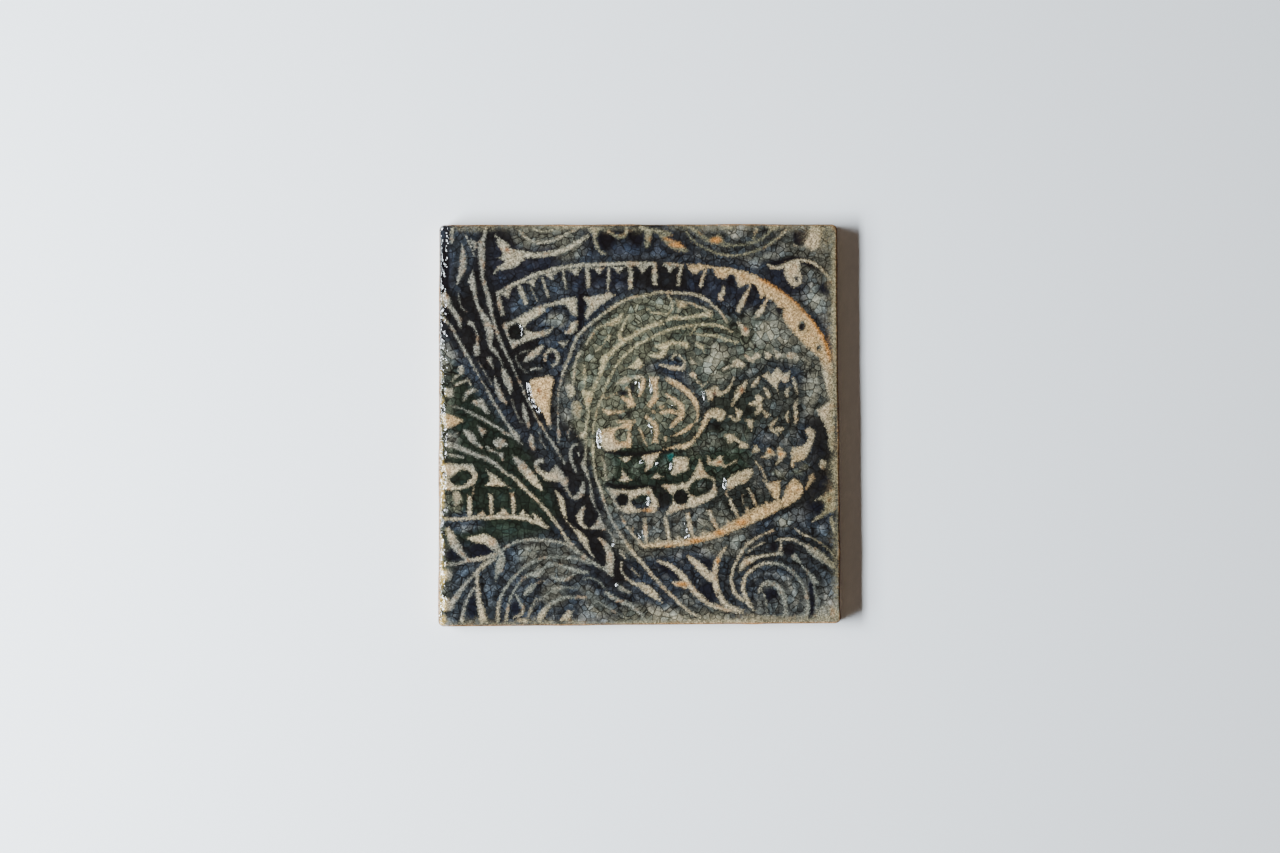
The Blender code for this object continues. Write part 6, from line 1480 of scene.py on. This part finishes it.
# Where the lands' thin glaze ends, by the distance inside them, and how noise roughens that line
NOISE_RANGE = (0.25, 0.75)
GRIT_REACH, GRAIN_REACH, WANDER_REACH = 0.2, 0.18, 0.12
LAND_EDGE = (-0.16, 0.57)
OPEN_EDGE = (-0.95, -2.2)
BARE_GRAIN = (0.3, 0.7, 0.6, 1.25)

# The ground: its bluer flakes, and how the crackle weakens where the glaze is dark
COOL = (0.88, 0.99, 1.12, 1.0)
COOL_FLAKES = (0.4, 0.95)
DARK_GLAZE = (0.004, 0.04, 0.5, 1.0)
OUTLINE_SHADE = (0.9, 0.9, 0.89)

# The lands: their mottling, crown, veiled edge, rusty clouds and dark specks
LAND_MOTTLES = ((1.0, 3.0, 0.36, 0.64, 0.8, 1.18), (2.2, 3.0, 0.36, 0.64, 0.66, 1.36),
                (3.6, 2.0, 0.36, 0.64, 0.48, 1.6))
LAND_CROWN = (0.5, 1.2, 1.0, 1.1)
VEIL = (0.88, 0.99, 1.1, 1.0)
VEIL_EDGE = (1.15, 0.0)
RUSTY_CLOUDS = (0.45, 3.0, 0.52, 0.72)
RUSTY_SHARE = 0.3
SPECK_WARP = (2.0, 0.4)
SPECK_SCALE = 0.9
SPECK_WIDTH = (0.2, 0.09)
SPECK_PLACES = (0.42, 0.54)
SPECK_SHARE = 0.8

# The clay's relief under the clear coat
UNDER_FLATTENED = 0.72
FINE_GRAIN = (6.0, 2.0)
GRAIN_SHARE = 0.6
COVERED_GRAIN = (0.0, 0.8, 0.2, 1.0)
CRACK_DEPTH = 0.3
CLAY_GRAIN = 0.045 * MM
GLAZE_ROUGHNESS = 0.6

# The clear coat, with its chipped cracks and the pits of its glossy rim
COAT_FLATTENED = 0.8
CRACK_CHIPS = (0.45, 2.0, 0.5, 0.62, 0.0, -0.6)
COARSE_PITS = (0.95, 1.0)
FINE_PITS = (2.3, 0.0)
FINE_PIT_SHARE = 0.18
RIM_PITS = 19.0
COAT_GRAIN = 0.03 * MM
COAT_ROUGHNESS = 0.08
COAT_IOR = 1.8

# The bare clay of the sides and back, and the heights in millimetres over which its burnt line darkens
CLAY_WANDER = (0.3, 4.0, 0.3, 0.7, -0.9, 0.9)
CLAY_CLOUDS = (0.35, 4.0)
CLAY_GRIT = (3.2, 2.0, 0.62, 0.72)
CLAY_GRIT_SHARE = 0.5
BURNT_LINE = (4.9, 6.4)
CLAY_BUMPS = (2.2, 5.0)
CLAY_BUMP_DEPTH = 0.18 * MM
CLAY_ROUGHNESS = (0.3, 0.7, 0.62, 0.85)


def rgba(colour):
    return (*(float(part) for part in colour), 1.0)


def crackle(made, place):
    """The crazed glaze: the ground's brightness, each flake's own hue, and the cracks."""
    crazed = made.warped(place, *CRACK_WARP)
    edge = made.cells(crazed, FLAKE_SCALE, "DISTANCE_TO_EDGE", "Distance")
    crack = made.times(made.step(edge, *CRACK_WIDTH), made.mottle(place, *CRACK_SHOWN))
    hair = made.cells(made.warped(place, *HAIR_WARP), HAIR_SCALE, "DISTANCE_TO_EDGE", "Distance")
    hair = made.times(made.step(hair, *HAIR_WIDTH), made.mottle(place, *HAIR_SHOWN))
    own = made.cells(crazed, FLAKE_SCALE, "F1", "Color")
    shifted = made.vector("ADD", place, made.scaled(own, FLAKE_SHIFT))
    light = made.math("ADD", hair, 1.0)
    light = made.times(light, made.step(made.part(own, 0), *FLAKE_TONES))
    light = made.times(light, made.mottle(shifted, *FLAKE_MOTTLE))
    for mottle in GROUND_MOTTLES:
        light = made.times(light, made.mottle(place, *mottle))
    light = made.times(light, made.step(crack, *CRACK_TONES))
    return light, made.part(own, 1), crack


def ground_colour(made, field, light, hue):
    """The pooled glaze: deep beside the lands, crackled and lighter in the open."""
    open_glaze = made.attribute("open", "Color")
    ground = made.mix(made.step(field, *OPEN_EDGE), made.attribute("deep", "Color"), open_glaze)
    ground = made.mix(made.step(hue, *COOL_FLAKES), ground, COOL, "MULTIPLY")
    contrast = made.step(made.part(open_glaze, 1), *DARK_GLAZE)
    return made.scaled(ground, made.math("POWER", light, contrast))


def land_colour(made, place, field, bare, wander):
    """The thin glaze: mottled cream, veiled at the lands' edges, with rusty clouds and dark specks."""
    clay = made.attribute("cream", "Color")
    for mottle in LAND_MOTTLES:
        clay = made.scaled(clay, made.mottle(place, *mottle))
    clay = made.scaled(clay, made.step(field, *LAND_CROWN))
    veiled = made.math("SUBTRACT", made.step(field, *VEIL_EDGE), bare)
    clay = made.mix(made.math("MAXIMUM", veiled, 0.0), clay, VEIL, "MULTIPLY")
    rusty = made.times(made.mottle(place, *RUSTY_CLOUDS), RUSTY_SHARE)
    clay = made.mix(rusty, clay, rgba(ORANGE))
    speck = made.cells(made.warped(place, *SPECK_WARP), SPECK_SCALE, "F1", "Distance")
    speck = made.times(made.step(speck, *SPECK_WIDTH), made.step(wander, *SPECK_PLACES))
    return made.mix(made.times(speck, SPECK_SHARE), clay, rgba(BROWN))


def clay_relief(made, place, grain, cover, crack):
    """The clay's grain, stronger where the glaze is thin, and the cracks, all under the clear coat."""
    height = made.math("ADD", made.times(grain, GRAIN_SHARE), made.noise(place, *FINE_GRAIN))
    height = made.times(height, made.step(cover, *COVERED_GRAIN))
    height = made.math("SUBTRACT", height, made.times(crack, CRACK_DEPTH))
    return made.bump(height, CLAY_GRAIN, Normal=made.flattened(UNDER_FLATTENED))


def coat_relief(made, place, crack):
    """The clear coat's own surface, nearly flat but for the glossy places, which follow the clay."""
    gloss = made.attribute("gloss")
    level = made.step(gloss, 0.0, 1.0, COAT_FLATTENED, 0.0)
    chipped = made.times(crack, made.mottle(place, *CRACK_CHIPS))
    fine = made.times(made.noise(place, *FINE_PITS), FINE_PIT_SHARE)
    pits = made.math("ADD", made.noise(place, *COARSE_PITS), fine)
    pitted = made.times(made.times(gloss, pits), RIM_PITS)
    return made.bump(made.math("ADD", chipped, pitted), COAT_GRAIN, Normal=made.flattened(level))


def glaze_material():
    """Crackled glaze: deep colour in the ground, thin mottled cream over the lands."""
    made = Shader("stamped_glaze")
    place = made.place()
    grit = made.noise(place, *GRIT)
    grain = made.noise(place, *GRAIN)
    wander = made.noise(place, *WANDER)
    field = made.attribute("field")
    for noise, reach in ((grit, GRIT_REACH), (grain, GRAIN_REACH), (wander, WANDER_REACH)):
        field = made.math("ADD", field, made.step(noise, *NOISE_RANGE, -reach, reach))
    bare = made.times(made.attribute("bare"), made.step(grain, *BARE_GRAIN))
    cover = made.times(made.step(field, *LAND_EDGE), made.attribute("tone"))
    cover = made.math("MAXIMUM", cover, made.math("MINIMUM", bare, 1.0))
    light, hue, crack = crackle(made, place)
    ground = ground_colour(made, field, light, hue)
    clay = land_colour(made, place, field, bare, wander)
    return made.finish(Base_Color=made.mix(cover, ground, clay), Roughness=GLAZE_ROUGHNESS,
                       Specular_IOR_Level=0.0, Normal=clay_relief(made, place, grain, cover, crack),
                       Coat_Weight=1.0, Coat_Roughness=COAT_ROUGHNESS, Coat_IOR=COAT_IOR,
                       Coat_Normal=coat_relief(made, place, crack))


def clay_material():
    """Bare buff clay, reddish where the glaze ends."""
    made = Shader("bare_clay")
    place = made.place()
    level = made.add("SeparateXYZ", {0: place}).outputs[2]
    level = made.math("ADD", level, made.mottle(place, *CLAY_WANDER))
    colour = made.mix(made.noise(place, *CLAY_CLOUDS), rgba(CLAY), rgba(CREAM))
    grit = made.times(made.mottle(place, *CLAY_GRIT), CLAY_GRIT_SHARE)
    colour = made.mix(grit, colour, rgba(BROWN))
    colour = made.mix(made.step(level, *BURNT_LINE), colour, rgba(BURNT))
    bumps = made.noise(place, *CLAY_BUMPS)
    return made.finish(Base_Color=colour, Roughness=made.step(bumps, *CLAY_ROUGHNESS),
                       Normal=made.bump(bumps, CLAY_BUMP_DEPTH))


def plain_material(name, colour, roughness):
    return Shader(name).finish(Base_Color=rgba(colour), Roughness=roughness)


def store(mesh, name, values):
    """Keeps a number or colour for each of the mesh's points, for the materials to read."""
    if values.ndim == 1:
        kept = mesh.attributes.new(name, "FLOAT", "POINT")
        kept.data.foreach_set("value", np.ascontiguousarray(values, np.float32))
    else:
        kept = mesh.attributes.new(name, "FLOAT_COLOR", "POINT")
        colours = np.column_stack([values, np.ones(len(values))])
        kept.data.foreach_set("color", colours.astype(np.float32).ravel())


def painted(u, v, base, layers):
    """The values that a base and the layers over it leave on points of the face."""
    paint = Paint(u, v, base)
    for layer in layers:
        layer(paint)
    return paint.value


def paint_points(mesh):
    """Puts the glaze's colours and thickness on the points of the finished mesh."""
    spots = np.empty(len(mesh.vertices) * 3)
    mesh.vertices.foreach_get("co", spots)
    spots = spots.reshape(-1, 3)
    u, v = pattern_place(spots[:, 0], spots[:, 1])
    glaze = painted(u, v, SLATE, GROUND_LAYERS)
    store(mesh, "field", sample(land, u, v))
    store(mesh, "tone", sample(softened(tone, SOFTENINGS), u, v))
    store(mesh, "open", glaze[:, :3])
    store(mesh, "deep", glaze[:, 3:] * OUTLINE_SHADE)
    store(mesh, "cream", painted(u, v, CREAM, LAND_LAYERS))
    store(mesh, "bare", painted(u, v, [0], [thin_glaze])[:, 0])
    store(mesh, "gloss", painted(u, v, [0], [glossy_places])[:, 0])


def build_tile():
    """The tile: its glazed face, its clay sides and its back, as one closed mesh."""
    for motif in MOTIFS:
        motif()
    lines = GRID_START + CELL * np.arange(GRID_CELLS)
    u, v = np.meshgrid(lines, lines)
    mesh = face_mesh(surface(with_rim(u, v), u, v))
    add_sides(mesh)
    paint_points(mesh)
    tile = bpy.data.objects.new("tile_body", mesh)
    bpy.context.scene.collection.objects.link(tile)
    mesh.materials.append(glaze_material())
    mesh.materials.append(clay_material())
    for face in mesh.polygons:
        face.material_index = int(face.center.z < CLAY_TOP)
    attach(tile, "root")
    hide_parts("stamped_tile")


def build_floor():
    """The pale table that the tile lies on."""
    bpy.ops.mesh.primitive_plane_add(size=FLOOR_SIZE, location=(0, 0, cad_low[2]))
    floor = bpy.context.object
    floor.name = "studio_floor"
    floor.data.materials.append(plain_material("pale_floor", linear(FLOOR_COLOUR), FLOOR_ROUGHNESS))


def build_lamp(name, place, size, power):
    """A rectangle of light turned towards the tile, with its long side upright in the picture."""
    lamp = bpy.data.lights.new(name, "AREA")
    lamp.shape = "RECTANGLE"
    lamp.size, lamp.size_y = size
    lamp.energy = power
    lamp.color = WINDOW_COLOUR
    thing = bpy.data.objects.new(name, lamp)
    thing.location = place
    thing.rotation_euler = (0, -math.atan2(-place[0], place[2]), 0)
    bpy.context.scene.collection.objects.link(thing)


def build_light():
    """A tall window on the left with a wide glow round it, and a little light from all round."""
    build_lamp("window", WINDOW_AT, WINDOW_SIZE, WINDOW_POWER)
    build_lamp("glow", GLOW_AT, GLOW_SIZE, GLOW_POWER)
    world = bpy.data.worlds.new("studio")
    world.use_nodes = True
    sky = world.node_tree.nodes["Background"]
    sky.inputs["Color"].default_value = (*SKY_COLOUR, 1.0)
    sky.inputs["Strength"].default_value = SKY_STRENGTH
    bpy.context.scene.world = world


def build_camera():
    """Straight above the tile, with the tile where the photograph has it."""
    lens = bpy.data.cameras.new("camera")
    lens.lens = LENS
    lens.sensor_width = SENSOR
    camera = bpy.data.objects.new("camera", lens)
    height = FRAME_WIDTH * LENS / SENSOR
    per_pixel = FRAME_WIDTH / IMAGE_WIDTH
    camera.location = ((IMAGE_WIDTH / 2 - TILE_MIDDLE[0]) * per_pixel,
                       (TILE_MIDDLE[1] - IMAGE_HEIGHT / 2) * per_pixel,
                       cad_high[2] + height)
    camera.rotation_euler = (0, 0, 0)
    bpy.context.scene.collection.objects.link(camera)
    bpy.context.scene.camera = camera


build_tile()
build_floor()
build_light()
build_camera()
